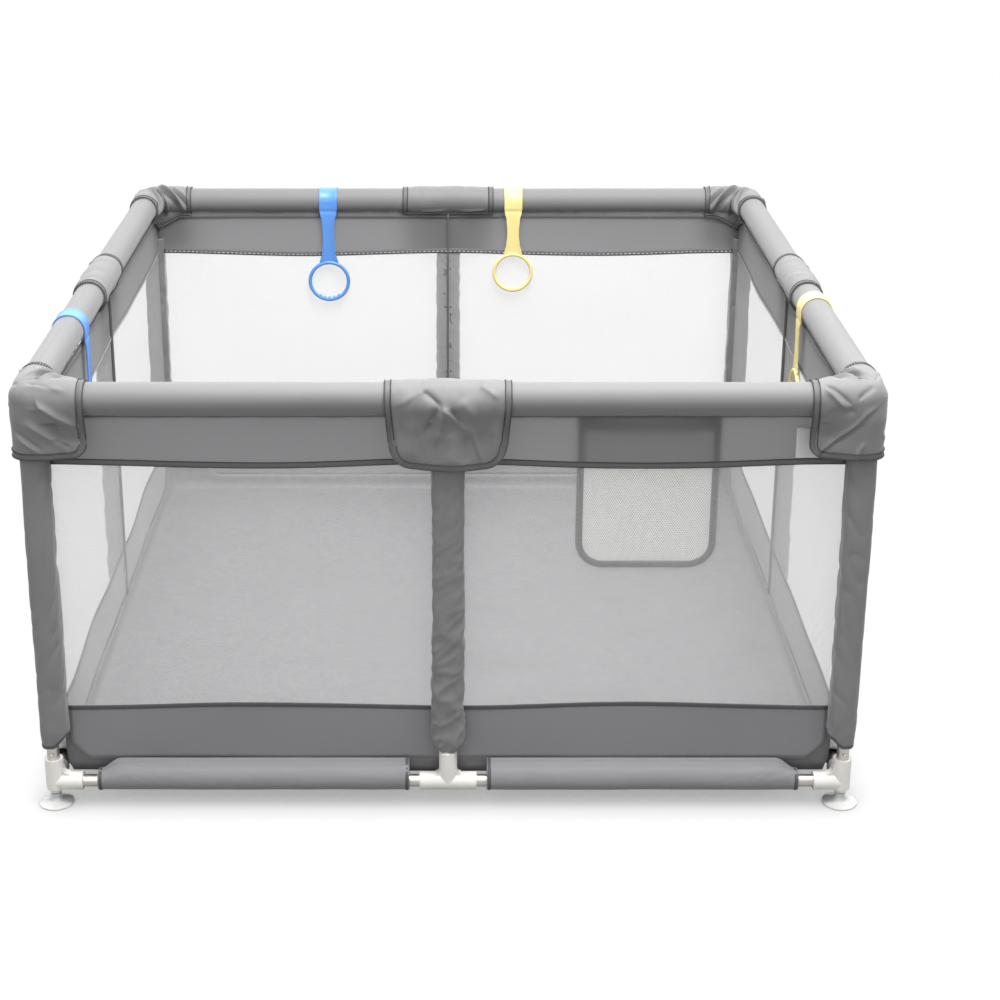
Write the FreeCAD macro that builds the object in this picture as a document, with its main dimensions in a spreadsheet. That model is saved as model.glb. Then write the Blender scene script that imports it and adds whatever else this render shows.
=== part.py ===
"""A square knock-down playpen: steel tubes in plastic connectors, dressed in fabric and mesh.

The origin is on the floor at the middle of the plan. +Z is up, the front is towards -Y.
Everything that repeats on the four sides is drawn at the front and turned about +Z.
"""
import FreeCAD, Part
import os
from FreeCAD import Placement, Rotation, Vector

os.makedirs("parts", exist_ok=True)
doc = FreeCAD.newDocument("playpen")

DIMENSIONS = {
    "half_width": 611,        # centre of the playpen to the centreline of a rail or corner post
    "top_rail_height": 667,   # centreline of the padded top rail
    "low_rail_height": 38,    # centreline of the bottom rail
    "tube_diameter": 19,
    "tube_wall": 0.8,
    "slip_gap": 0.1,          # radial gap between a tube and the socket it sits in
    "socket_diameter": 28,
    "arm_reach": 44,          # a connector's arm, from the crossing of its axes to its mouth
    "web_thickness": 14,      # rib between two sockets of a bottom connector
    "tube_stop": 16,          # from the crossing of the axes to the end of an inserted tube
    "low_corner_rise": 40,    # upright socket of a bottom corner connector
    "low_tee_rise": 52,       # upright socket of a bottom tee
    "foam_diameter": 46,
    "sleeve_diameter": 49,
    "cloth": 1.2,             # thickness of a doubled and sewn fabric wall
    "cloth_gap": 0.3,         # clear space between a fabric piece and its neighbour
    "wall_offset": 596,       # centre of the playpen to the middle of a wall panel
    "wall_thickness": 1,
    "wall_reach": 583.5,      # half the width of a wall panel
    "wall_bottom": 41,
    "wall_top": 647,
    "wall_notch": 62,         # radius cut from a wall's lower corners, round the connectors
    "floor_height": 39,
    "floor_reach": 594.5,
    "post_sleeve_width": 44,
    "post_sleeve_shift": 5,   # the corner sleeve's middle stands this far inside the tube's axis
    "post_sleeve_bottom": 100,
    "post_sleeve_top": 592,
    "mid_sleeve_width": 48,
    "mid_sleeve_depth": 26,
    "mid_sleeve_bottom": 92,
    "mid_sleeve_top": 619,
    "rail_cuff_inner": 60,    # bottom rail sleeve, end beside the tee
    "rail_cuff_outer": 543,   # bottom rail sleeve, end beside the corner
    "low_sleeve_diameter": 24,
    "low_sleeve_lip": 70,     # height at which the bottom sleeve is sewn to the wall
    "cover_radius": 27,       # outside radius of a cover over the rail
    "corner_cover_reach": 87,
    "corner_cover_bottom": 580,
    "corner_flap_bottom": 628,
    "mid_cover_half": 92,
    "mid_cover_bottom": 568,
    "mid_flap_bottom": 640,
    "foot_radius": 26.7,
    "foot_stem_radius": 5,
    "foot_running_gap": 0.05,
    "button_radius": 2.5,
    "button_height": 88,
    "button_travel": 2.4,
    "strap_width": 37,
    "strap_thickness": 2.2,
    "strap_neck": 25,
    "ring_section": 3.6,      # half the thickness of the ring's bar
    "pocket_left": 190,
    "pocket_right": 400,
    "pocket_bottom": 393,
    "pocket_top": 606,
    "pocket_depth": 14,
    "pocket_corner": 42,
    "label_left": 510,
    "label_width": 34,
    "label_bottom": 571,
    "label_height": 47,
}

SIDES = {"front": 0, "right": 90, "back": 180, "left": 270}
CORNERS = {"front_left": 0, "front_right": 90, "back_right": 180, "back_left": 270}

sheet = doc.addObject("Spreadsheet::Sheet", "dims")
for row, (alias, value) in enumerate(DIMENSIONS.items(), 1):
    sheet.set("A%d" % row, alias)
    sheet.set("B%d" % row, str(value))
    sheet.setAlias("B%d" % row, alias)
doc.recompute()

sub_parts = []


def dim(name):
    """Value of one driving dimension, as the sheet holds it."""
    return float(getattr(sheet, name))


def bind(obj, **formulas):
    """Bind properties to formulas; a sheet alias in a formula is written as $alias."""
    for prop, formula in formulas.items():
        obj.setExpression(prop.replace("__", "."), formula.replace("$", "dims."))
    return obj


def place(obj, x="0", y="0", z="0", turn=None):
    """Put a shape at a bound position, turned by an (axis, degrees) pair."""
    if turn:
        obj.Placement = Placement(Vector(), Rotation(Vector(*turn[0]), turn[1]))
    return bind(obj, Placement__Base__x=x, Placement__Base__y=y, Placement__Base__z=z)


def box(x, y, z, length, width, height):
    """Box with bound corner and bound size."""
    solid = bind(doc.addObject("Part::Box", "box"), Length=length, Width=width, Height=height)
    return place(solid, x, y, z)


TURN_TO_X = ((0, 1, 0), 90)
TURN_TO_Y = ((1, 0, 0), -90)


def rod(radius, length, x="0", y="0", z="0", turn=None):
    """Cylinder with bound radius and length, standing on its start point."""
    solid = bind(doc.addObject("Part::Cylinder", "rod"), Radius=radius, Height=length)
    return place(solid, x, y, z, turn)


def ball(radius, x, y, z):
    """Sphere with bound radius and centre."""
    return place(bind(doc.addObject("Part::Sphere", "ball"), Radius=radius), x, y, z)


def cut(base, *tools):
    """Base less every tool."""
    for tool in tools:
        result = doc.addObject("Part::Cut", "cut")
        result.Base, result.Tool = base, tool
        base = result
    return base


def fuse(*pieces):
    """Union of touching pieces."""
    result = doc.addObject("Part::MultiFuse", "fuse")
    result.Shapes = list(pieces)
    return result


def group(*pieces):
    """Separate solids that share one sub-part."""
    result = doc.addObject("Part::Compound", "group")
    result.Links = list(pieces)
    return result


def round_edges(base, radius, wanted):
    """Fillet the edges of a shape that a test picks."""
    doc.recompute()
    numbers = [i for i, edge in enumerate(base.Shape.Edges, 1) if wanted(edge)]
    result = doc.addObject("Part::Fillet", "rounded")
    result.Base = base
    result.Edges = [(number, radius, radius) for number in numbers]
    return result


def along(axis):
    """Test for straight edges that run along one axis."""
    def wanted(edge):
        line = edge.Curve
        return isinstance(line, Part.Line) and abs(line.Direction.dot(Vector(*axis))) > 0.99
    return wanted


def turned(obj, degrees):
    """Turn a finished shape about the playpen's upright axis."""
    obj.Placement = Placement(Vector(), Rotation(Vector(0, 0, 1), degrees)).multiply(obj.Placement)
    return obj


def sub_part(obj, label, degrees=0):
    """Name a finished sub-part and turn it to its side."""
    obj.Label = label
    sub_parts.append(turned(obj, degrees))
    return obj


# ---------------------------------------------------------------- tubes

def tube(start, length, height):
    """Steel tube along X at the front, from start, at one height."""
    where = dict(y="-$half_width", z=height, turn=TURN_TO_X)
    outside = rod("$tube_diameter / 2", length, x=start, **where)
    inside = rod("$tube_diameter / 2 - $tube_wall", length, x=start, **where)
    return cut(outside, inside)


def rail_tubes(label, height, degrees):
    """The two tubes of one rail, which meet at the tee in the middle of a side."""
    length = "$half_width - 2 * $tube_stop"
    left = tube("-$half_width + $tube_stop", length, height)
    right = tube("$tube_stop", length, height)
    sub_part(group(left, right), label, degrees)


def post_tube(x, low_end, high_end):
    """Upright steel tube in the plane of the front rails."""
    where = dict(x=x, y="-$half_width", z=low_end)
    length = "(%s) - (%s)" % (high_end, low_end)
    outside = rod("$tube_diameter / 2", length, **where)
    inside = rod("$tube_diameter / 2 - $tube_wall", length, **where)
    return cut(outside, inside)


def corner_post_tube(label, degrees, button_turn):
    """Corner post with the hole that its snap button stands in."""
    post = post_tube("-$half_width", "$low_rail_height + $tube_stop",
                     "$top_rail_height - $tube_stop")
    hole_x, hole_y, hole_turn = BUTTON_SIDES[button_turn]
    hole = rod("$button_radius + $slip_gap", "$tube_diameter / 2 + 2",
               x="-$half_width", y="-$half_width", z="$button_height", turn=hole_turn)
    sub_part(cut(post, hole), label, degrees)


# A button looks out of the front or back; after its corner is turned, that is -Y or -X.
BUTTON_SIDES = {
    "minus_y": (0, -1, ((1, 0, 0), 90)),
    "minus_x": (-1, 0, ((0, 1, 0), -90)),
}
CORNER_BUTTONS = {"front_left": "minus_y", "front_right": "minus_x",
                  "back_right": "minus_y", "back_left": "minus_x"}


# ---------------------------------------------------------------- connectors

def web(x, y, z, arm, radius):
    """Concave rib in the corner between an upright socket and one level socket."""
    half_thick = "$web_thickness / 2"
    reach = "($socket_diameter / 2 + %g)" % radius
    dx, dy = arm
    if dx:
        corner = x if dx > 0 else "%s - %s" % (x, reach)
        blank = box(corner, "%s - %s" % (y, half_thick), z, reach, "$web_thickness", reach)
        scoop = rod("%g" % radius, "$web_thickness + 2", "%s + %d * %s" % (x, dx, reach),
                    "%s - %s - 1" % (y, half_thick), "%s + %s" % (z, reach), TURN_TO_Y)
    else:
        blank = box("%s - %s" % (x, half_thick), y, z, "$web_thickness", reach, reach)
        scoop = rod("%g" % radius, "$web_thickness + 2", "%s - %s - 1" % (x, half_thick),
                    "%s + %s" % (y, reach), "%s + %s" % (z, reach), TURN_TO_X)
    return cut(blank, scoop)


def lower_end(x, y, z):
    """Body of a bottom corner connector below its axes, its lower rim rounded."""
    rim_round = 3
    body = rod("$socket_diameter / 2", "$socket_diameter / 2 - 1", x, y,
               "%s - $socket_diameter / 2 + 1" % z)
    floor = dim("low_rail_height") - dim("socket_diameter") / 2 + 1

    def lower_rim(edge):
        return abs(edge.BoundBox.ZMax - floor) < 0.1
    return round_edges(body, rim_round, lower_rim)


def connector(arms, centre, rises, foot_bore=False, web_radius=0):
    """Moulded connector: a socket for each tube round one crossing of axes.

    arms holds (dx, dy) directions of the level sockets, rises is (sign, reach) of the upright.
    A web of web_radius stiffens each corner between them, if it is given.
    """
    x, y, z = centre
    turns = {(1, 0): TURN_TO_X, (-1, 0): ((0, 1, 0), -90), (0, 1): TURN_TO_Y}
    outsides = [ball("$socket_diameter / 2", x, y, z)]
    bores = []
    bore_radius = "$tube_diameter / 2 + $slip_gap"
    for arm in arms:
        outsides.append(rod("$socket_diameter / 2", "$arm_reach", x, y, z, turns[arm]))
        step = "($tube_stop - 1)"
        start = dict(x="%s + %d * %s" % (x, arm[0], step), y="%s + %d * %s" % (y, arm[1], step))
        bores.append(rod(bore_radius, "$arm_reach", z=z, turn=turns[arm], **start))
        if web_radius:
            outsides.append(web(x, y, z, arm, web_radius))
    sign, reach = rises
    turn = ((1, 0, 0), 0) if sign > 0 else ((1, 0, 0), 180)
    outsides.append(rod("$socket_diameter / 2", reach, x, y, z, turn))
    bores.append(rod(bore_radius, reach, x, y, "%s + %d * ($tube_stop - 1)" % (z, sign), turn))
    if foot_bore:
        boss_height = "$socket_diameter / 2 + 4"
        down = ((1, 0, 0), 180)
        outsides.append(rod("$foot_stem_radius + 4", boss_height, x, y, z, down))
        outsides.append(lower_end(x, y, z))
        bores.append(rod("$foot_stem_radius + $foot_running_gap", "30", x, y, "10", None))
    return cut(fuse(*outsides), *bores)


FRONT_CORNER = ("-$half_width", "-$half_width")
FRONT_MIDDLE = ("0", "-$half_width")


def top_connectors():
    """Corner elbows and tees of the top frame, hidden under the covers."""
    corners, tees = [], []
    for degrees in SIDES.values():
        centre = FRONT_CORNER + ("$top_rail_height",)
        corners.append(turned(connector([(1, 0), (0, 1)], centre, (-1, "$arm_reach")), degrees))
        centre = FRONT_MIDDLE + ("$top_rail_height",)
        tees.append(turned(connector([(1, 0), (-1, 0)], centre, (-1, "$arm_reach")), degrees))
    sub_part(group(*corners), "top_corner_connectors")
    sub_part(group(*tees), "top_tee_connectors")


def bottom_connectors():
    """Corner elbows with a foot socket, and tees, of the bottom frame."""
    for name, degrees in CORNERS.items():
        centre = FRONT_CORNER + ("$low_rail_height",)
        elbow = connector([(1, 0), (0, 1)], centre, (1, "$low_corner_rise"), foot_bore=True,
                          web_radius=10)
        sub_part(elbow, "bottom_corner_connector_" + name, degrees)
    for name, degrees in SIDES.items():
        centre = FRONT_MIDDLE + ("$low_rail_height",)
        tee = connector([(1, 0), (-1, 0)], centre, (1, "$low_tee_rise"), web_radius=6)
        sub_part(tee, "bottom_tee_connector_" + name, degrees)


# ---------------------------------------------------------------- feet and snap buttons

def origin_plane(body, role):
    """One of a body's own origin planes."""
    return next(item for item in body.Origin.OriginFeatures if item.Role == role)


def draw_outline(sketch, points):
    """Closed outline of straight lines through the points."""
    corners = [Vector(*point, 0) for point in points]
    for start, end in zip(corners, corners[1:] + corners[:1]):
        sketch.addGeometry(Part.LineSegment(start, end), False)


def suction_foot(label, degrees):
    """Suction cup on a swivelling stem: one turned profile."""
    body = doc.addObject("PartDesign::Body", "foot")
    sketch = body.newObject("Sketcher::SketchObject", "foot_profile")
    sketch.AttachmentSupport = [(origin_plane(body, "XZ_Plane"), "")]
    sketch.MapMode = "FlatFace"
    rim, stem = dim("foot_radius"), dim("foot_stem_radius")
    stem_top, collar_top, lip = 30, 17.5, 1.5
    draw_outline(sketch, [(0, 5), (stem, 5), (rim - 6, 1.5), (rim - 2.5, 0), (rim, 0), (rim, lip),
                          (rim - 7, 3.6), (stem + 7, 6.5), (stem + 3, 11), (stem + 3, collar_top),
                          (stem, collar_top), (stem, stem_top), (0, stem_top)])
    turn = body.newObject("PartDesign::Revolution", "foot_turned")
    turn.Profile = sketch
    turn.ReferenceAxis = (sketch, ["V_Axis"])
    turn.Angle = 360
    body.Tip = turn
    place(body, "-$half_width", "-$half_width", "0")
    doc.recompute()
    sub_part(group(body), label, degrees)


def snap_button(label, degrees, button_turn):
    """Snap button with the flange and spring leaf that it is riveted to, inside the post."""
    dx, dy, turn = BUTTON_SIDES[button_turn]

    def outwards(distance):
        return ["-$half_width + %d * (%s)" % (step, distance) for step in (dx, dy)]
    flange_place, flange_thickness = 5, 1.2
    leaf_width, leaf_thickness, leaf_length = 4, 0.6, 26
    tip = "$tube_diameter / 2 + $button_travel"
    seat = outwards("%g" % flange_place)
    pin = rod("$button_radius", "%s - %g" % (tip, flange_place), *seat, "$button_height", turn)
    head = ball("$button_radius", *outwards(tip), "$button_height")
    flange = rod("$button_radius + 1.2", "%g" % flange_thickness, *seat, "$button_height", turn)
    size = [leaf_thickness if step else leaf_width for step in (dx, dy)]
    corner = ["%s - %g" % (middle, extent / 2)
              for middle, extent in zip(outwards("%g" % (flange_place + 0.4)), size)]
    leaf = box(*corner, "$button_height", "%g" % size[0], "%g" % size[1], "%g" % leaf_length)
    sub_part(fuse(pin, head, flange, leaf), label, degrees)


# ---------------------------------------------------------------- padding and fabric

def ring_pairs(inner, outer, label, degrees):
    """Two hollow sleeves on one top rail, from tee to corner."""
    pieces = []
    length = "$half_width - 2 * $arm_reach - 2"
    for start in ("-$half_width + $arm_reach + 1", "$arm_reach + 1"):
        where = dict(x=start, y="-$half_width", z="$top_rail_height", turn=TURN_TO_X)
        pieces.append(cut(rod(outer, length, **where), rod(inner, length, **where)))
    if label is None:
        return [turned(piece, degrees) for piece in pieces]
    return sub_part(group(*pieces), label, degrees)


def rail_padding():
    """Foam tubes on the rails, all in one sub-part, and a fabric sleeve on each side."""
    foam = []
    for name, degrees in SIDES.items():
        foam += ring_pairs("$tube_diameter / 2 + $cloth_gap", "$foam_diameter / 2", None, degrees)
        ring_pairs("$foam_diameter / 2 + $cloth_gap", "$sleeve_diameter / 2",
                   "rail_sleeve_" + name, degrees)
    sub_part(group(*foam), "rail_foam")


def hollow_box(x, y, z, length, width, height, radius):
    """Upright fabric tube of rounded square section, open at both ends."""
    outside = round_edges(box(x, y, z, length, width, height), radius, along((0, 0, 1)))
    inner = ["(%s) + $cloth" % x, "(%s) + $cloth" % y, "(%s) - 1" % z,
             "(%s) - 2 * $cloth" % length, "(%s) - 2 * $cloth" % width, "(%s) + 2" % height]
    inside = round_edges(box(*inner), radius - dim("cloth"), along((0, 0, 1)))
    return cut(outside, inside)


def post_sleeves():
    """Fabric sleeves on the four corner posts and the four middle posts."""
    corner_round, mid_round = 14, 9
    corner_sleeves, mid_sleeves = [], []
    for degrees in SIDES.values():
        start = "-$half_width + $post_sleeve_shift - $post_sleeve_width / 2"
        sleeve = hollow_box(start, start, "$post_sleeve_bottom", "$post_sleeve_width",
                            "$post_sleeve_width", "$post_sleeve_top - $post_sleeve_bottom",
                            corner_round)
        corner_sleeves.append(turned(sleeve, degrees))
        outer_face = "-$wall_offset - $wall_thickness / 2 - $cloth_gap - $mid_sleeve_depth"
        sleeve = hollow_box("-$mid_sleeve_width / 2", outer_face, "$mid_sleeve_bottom",
                            "$mid_sleeve_width", "$mid_sleeve_depth",
                            "$mid_sleeve_top - $mid_sleeve_bottom", mid_round)
        mid_sleeves.append(turned(sleeve, degrees))
    sub_part(group(*corner_sleeves), "corner_post_sleeves")
    sub_part(group(*mid_sleeves), "mid_post_sleeves")


def low_rail_sleeves():
    """Bottom rail sleeves: a hem round the tube with a lip up the outside of the wall."""
    sleeves = []
    length = "$rail_cuff_outer - $rail_cuff_inner"
    lip_y = "-$wall_offset - $wall_thickness / 2 - $cloth_gap - $cloth"
    for degrees in SIDES.values():
        for start in ("-$rail_cuff_outer", "$rail_cuff_inner"):
            where = dict(x=start, y="-$half_width", z="$low_rail_height", turn=TURN_TO_X)
            hem = rod("$low_sleeve_diameter / 2", length, **where)
            shelf = box(start, "-$half_width", "$low_rail_height + $low_sleeve_diameter / 2 - 2",
                        length, "(%s) + $half_width + $cloth" % lip_y, "1.6")
            lip = box(start, lip_y, "$low_rail_height + $low_sleeve_diameter / 2 - 2", length,
                      "$cloth", "$low_sleeve_lip - $low_rail_height - $low_sleeve_diameter / 2 + 2")
            bore = rod("$tube_diameter / 2 + $cloth_gap", length, **where)
            sleeves.append(turned(cut(fuse(hem, shelf, lip), bore), degrees))
    sub_part(group(*sleeves), "bottom_rail_sleeves")


def wall_panel(label, degrees):
    """Wall of fabric and mesh, with its lower corners cut away round the connectors."""
    panel = box("-$wall_reach", "-$wall_offset - $wall_thickness / 2", "$wall_bottom",
                "2 * $wall_reach", "$wall_thickness", "$wall_top - $wall_bottom")
    notches = [rod("$wall_notch", "30", x, "-$wall_offset - 15", "$low_rail_height + 6", TURN_TO_Y)
               for x in ("-$half_width + 12", "$half_width - 12")]
    sub_part(cut(panel, *notches), label, degrees)


def floor_sheet():
    """Floor of the playpen, sewn to the walls all round."""
    sub_part(box("-$floor_reach", "-$floor_reach", "$floor_height", "2 * $floor_reach",
                 "2 * $floor_reach", "$cloth"), "floor_sheet")


def saddle(start, length, outside_bottom, flap_bottom):
    """Cover over the front rail: outer skirt, half round over the top, inner flap."""
    where = dict(x=start, y="-$half_width", z="$top_rail_height", turn=TURN_TO_X)
    crown = cut(rod("$cover_radius", length, **where),
                rod("$cover_radius - $cloth", length, **where),
                box("(%s) - 1" % start, "-$half_width - 60", "$top_rail_height - 60",
                    "(%s) + 2" % length, "120", "60"))
    skirt = box(start, "-$half_width - $cover_radius", outside_bottom, length, "$cloth",
                "$top_rail_height - %s" % outside_bottom)
    flap = box(start, "-$half_width + $cover_radius - $cloth", flap_bottom, length, "$cloth",
               "$top_rail_height - %s" % flap_bottom)
    return fuse(crown, skirt, flap)


def mid_cover(label, degrees):
    """Cover over the tee in the middle of a top rail, its skirt rounded at the bottom."""
    blank = saddle("-$mid_cover_half", "2 * $mid_cover_half", "$mid_cover_bottom",
                   "$mid_flap_bottom")
    side = dim("mid_cover_half")

    def lower_corner(edge):
        middle = edge.CenterOfMass
        return along((0, 1, 0))(edge) and abs(abs(middle.x) - side) < 0.1 and middle.z < 620
    corner_radius = 18
    sub_part(round_edges(blank, corner_radius, lower_corner), label, degrees)


def corner_cover(label, degrees):
    """Cover over a top corner: a saddle mitred on the diagonal, and its mirror image."""
    start = "-$half_width - $cover_radius"
    blank = saddle(start, "$corner_cover_reach + $cover_radius", "$corner_cover_bottom",
                   "$corner_flap_bottom")
    corner = Vector(-dim("half_width") - dim("cover_radius") - 1, 0, 0)
    corner.y = corner.x
    reach = dim("corner_cover_reach") * 3
    beyond = doc.addObject("Part::Feature", "beyond_the_mitre")
    outline = [corner, corner + Vector(reach, reach, 0), corner + Vector(0, reach, 0), corner]
    face = Part.Face(Part.makePolygon(outline))
    beyond.Shape = face.extrude(Vector(0, 0, dim("top_rail_height") * 2))
    half = cut(blank, beyond)
    other_half = doc.addObject("Part::Mirroring", "other_half")
    other_half.Source = half
    other_half.Normal = Vector(1, -1, 0).normalize()
    sub_part(fuse(half, other_half), label, degrees)


def pocket():
    """Hanging mesh pocket inside the front wall, open at the top."""
    back = "-$wall_offset + $wall_thickness / 2 + $cloth_gap"
    width = "$pocket_right - $pocket_left"
    height = "$pocket_top - $pocket_bottom"
    outside = box("$pocket_left", back, "$pocket_bottom", width, "$pocket_depth", height)
    inside = box("$pocket_left + $cloth", back + " + $cloth", "$pocket_bottom + $cloth",
                 width + " - 2 * $cloth", "$pocket_depth - 2 * $cloth", height + " + 5")

    def lower_corner(edge):
        return along((0, 1, 0))(edge) and edge.CenterOfMass.z < dim("pocket_bottom") + 10
    outer_round = dim("pocket_corner")
    sub_part(cut(round_edges(outside, outer_round, lower_corner),
                 round_edges(inside, outer_round - dim("cloth"), lower_corner)), "pocket")


def label_tab():
    """Blank sewn-in tab on the outside of the front wall, beside the right cover."""
    thickness = "0.6"
    sub_part(box("$label_left", "-$wall_offset - $wall_thickness / 2 - $cloth_gap - " + thickness,
                 "$label_bottom", "$label_width", thickness, "$label_height"), "label_tab")


# ---------------------------------------------------------------- pull rings

def strap_body(centre_x, drop):
    """Flat strap from the hook down to the ring, narrowest at its neck."""
    body = doc.addObject("PartDesign::Body", "strap")
    sketch = body.newObject("Sketcher::SketchObject", "strap_outline")
    sketch.AttachmentSupport = [(origin_plane(body, "XZ_Plane"), "")]
    sketch.MapMode = "FlatFace"
    wide, neck = dim("strap_width") / 2, dim("strap_neck") / 2
    rows = [(wide, 0), (wide, 16), (neck + 3, 30), (neck, 62), (neck, drop - 38), (wide, drop)]
    outline = [(half, -down) for half, down in rows] + [(-half, -down) for half, down in rows[::-1]]
    draw_outline(sketch, outline)
    pad = body.newObject("PartDesign::Pad", "strap_pad")
    pad.Profile = sketch
    bind(pad, Length="$strap_thickness")
    body.Tip = pad
    inner_face = "-$half_width + $sleeve_diameter / 2 + $cloth_gap + $strap_thickness"
    return place(body, "%g" % centre_x, inner_face, "$top_rail_height")


def pull_ring(label, degrees, centre_x, drop, ring_radius):
    """Moulded pull ring: hook over the rail, strap, ring with finger bumps.

    drop is from the rail's centreline to the top of the ring's hole.
    """
    hook_gap = "$sleeve_diameter / 2 + $cloth_gap"
    where = dict(x="%g - $strap_width / 2" % centre_x, y="-$half_width", z="$top_rail_height")
    hook_outer = rod(hook_gap + " + $strap_thickness", "$strap_width", turn=TURN_TO_X, **where)
    hook_inner = rod(hook_gap, "$strap_width", turn=TURN_TO_X, **where)
    span = dim("strap_width")
    below_inner = box("%g - $strap_width / 2 - 1" % centre_x, "-$half_width - 2",
                      "$top_rail_height - 40", "%g" % (span + 2), "50", "40")
    tail_drop = 5
    below_outer = box("%g - $strap_width / 2 - 1" % centre_x, "-$half_width - 40",
                      "$top_rail_height - 40", "%g" % (span + 2), "50", "%g" % (40 - tail_drop))
    hook = cut(hook_outer, hook_inner, below_inner, below_outer)
    middle = "-$half_width + %s + $strap_thickness / 2" % hook_gap
    hoop_z = "$top_rail_height - %g" % (drop + ring_radius)
    hoop = doc.addObject("Part::Torus", "hoop")
    bind(hoop, Radius1="%g - $ring_section" % ring_radius, Radius2="$ring_section")
    place(hoop, "%g" % centre_x, middle, hoop_z, ((1, 0, 0), 90))
    bumps = []
    bump_radius = 3.2
    hole = ring_radius - 2 * dim("ring_section")
    for angle in (-32, -16, 0, 16, 32):
        spot = Rotation(Vector(0, 1, 0), angle).multVec(Vector(0, 0, -hole))
        bumps.append(ball("%g" % bump_radius, "%g" % (centre_x + spot.x), middle,
                          "%s + %g" % (hoop_z, spot.z)))
    sub_part(fuse(hook, strap_body(centre_x, drop + 2), hoop, *bumps), label, degrees)


# ---------------------------------------------------------------- the whole playpen

# name: side, place along that side seen from outside the playpen, drop, ring radius
PULL_RINGS = {
    "pull_ring_blue_back": ("back", 245, 121, 43),
    "pull_ring_yellow_back": ("back", -133, 104, 41.5),
    "pull_ring_blue_left": ("left", 264, 121, 43),
    "pull_ring_yellow_right": ("right", -165, 104, 41.5),
}


def build_playpen():
    """Every sub-part, in the order in which the playpen goes together."""
    for name, degrees in SIDES.items():
        rail_tubes("top_rail_tubes_" + name, "$top_rail_height", degrees)
        rail_tubes("bottom_rail_tubes_" + name, "$low_rail_height", degrees)
        wall_panel("wall_panel_" + name, degrees)
        mid_cover("mid_cover_" + name, degrees)
    for name, degrees in CORNERS.items():
        corner_post_tube("corner_post_tube_" + name, degrees, CORNER_BUTTONS[name])
        snap_button("snap_button_" + name, degrees, CORNER_BUTTONS[name])
        suction_foot("suction_foot_" + name, degrees)
        corner_cover("corner_cover_" + name, degrees)
    mid_posts = [turned(post_tube("0", "$low_rail_height + $tube_stop",
                                  "$top_rail_height - $tube_stop"), degrees)
                 for degrees in SIDES.values()]
    sub_part(group(*mid_posts), "mid_post_tubes")
    top_connectors()
    bottom_connectors()
    rail_padding()
    post_sleeves()
    low_rail_sleeves()
    floor_sheet()
    pocket()
    label_tab()
    for name, (side, centre_x, drop, ring_radius) in PULL_RINGS.items():
        pull_ring(name, SIDES[side], centre_x, drop, ring_radius)


def check_and_export():
    """Stop on a failed object or a bad shape, then write one STEP file for each sub-part."""
    doc.recompute()
    failed = [obj.Label for obj in doc.Objects if {"Invalid", "Error"} & set(obj.State)]
    for obj in sub_parts:
        if obj.Shape.isNull() or not obj.Shape.isValid() or not obj.Shape.Solids:
            failed.append(obj.Label)
    if failed:
        raise RuntimeError("failed: " + ", ".join(failed))
    for obj in sub_parts:
        obj.Shape.exportStep("parts/%s.step" % obj.Label)
        print("%-40s %2d solids %10.0f mm3" % (obj.Label, len(obj.Shape.Solids), obj.Shape.Volume))
    print(len(sub_parts), "sub-parts")


build_playpen()
check_and_export()
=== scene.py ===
# %% [markdown]
# # A square playpen, dressed over its frame
# The steel tubes, connectors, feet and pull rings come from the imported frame. Everything sewn is
# made here: padded rails, mesh walls, sleeves, covers, a pocket and the floor sheet. The playpen
# repeats on four sides, so each piece is drawn once at the front (towards -Y) and turned about +Z.

import math

import bpy
from mathutils import Matrix, Vector, noise


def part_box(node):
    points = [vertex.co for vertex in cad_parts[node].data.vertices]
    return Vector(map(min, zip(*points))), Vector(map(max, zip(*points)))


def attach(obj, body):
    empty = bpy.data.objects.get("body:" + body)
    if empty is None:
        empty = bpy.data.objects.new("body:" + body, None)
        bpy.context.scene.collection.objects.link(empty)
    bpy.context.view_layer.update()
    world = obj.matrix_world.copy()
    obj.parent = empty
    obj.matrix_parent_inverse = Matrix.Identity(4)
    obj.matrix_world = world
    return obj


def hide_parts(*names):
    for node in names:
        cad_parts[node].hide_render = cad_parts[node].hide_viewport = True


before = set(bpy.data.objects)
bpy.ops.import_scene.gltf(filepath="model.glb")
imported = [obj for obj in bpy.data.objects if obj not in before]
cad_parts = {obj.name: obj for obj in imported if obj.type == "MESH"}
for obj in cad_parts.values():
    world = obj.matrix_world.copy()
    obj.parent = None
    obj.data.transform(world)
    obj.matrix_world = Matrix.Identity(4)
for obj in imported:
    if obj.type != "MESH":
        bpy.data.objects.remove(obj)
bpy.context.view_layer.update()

MM = 0.001
SIDES = {"front": 0, "right": 90, "back": 180, "left": 270}
CORNERS = {"front_left": 0, "front_right": 90, "back_right": 180, "back_left": 270}
FIXED_BODY = "playpen"


def turn_of(name):
    """Turn about the playpen's middle that brings the front, or the front left corner, to name."""
    return Matrix.Rotation(math.radians({**SIDES, **CORNERS}[name]), 4, "Z")


# %% [markdown]
# ## Where everything is
# Sewn parts have to meet the hard frame exactly, so their places are read from the frame instead of
# being typed again. If a rail is moved there, the cloth follows.

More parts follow.
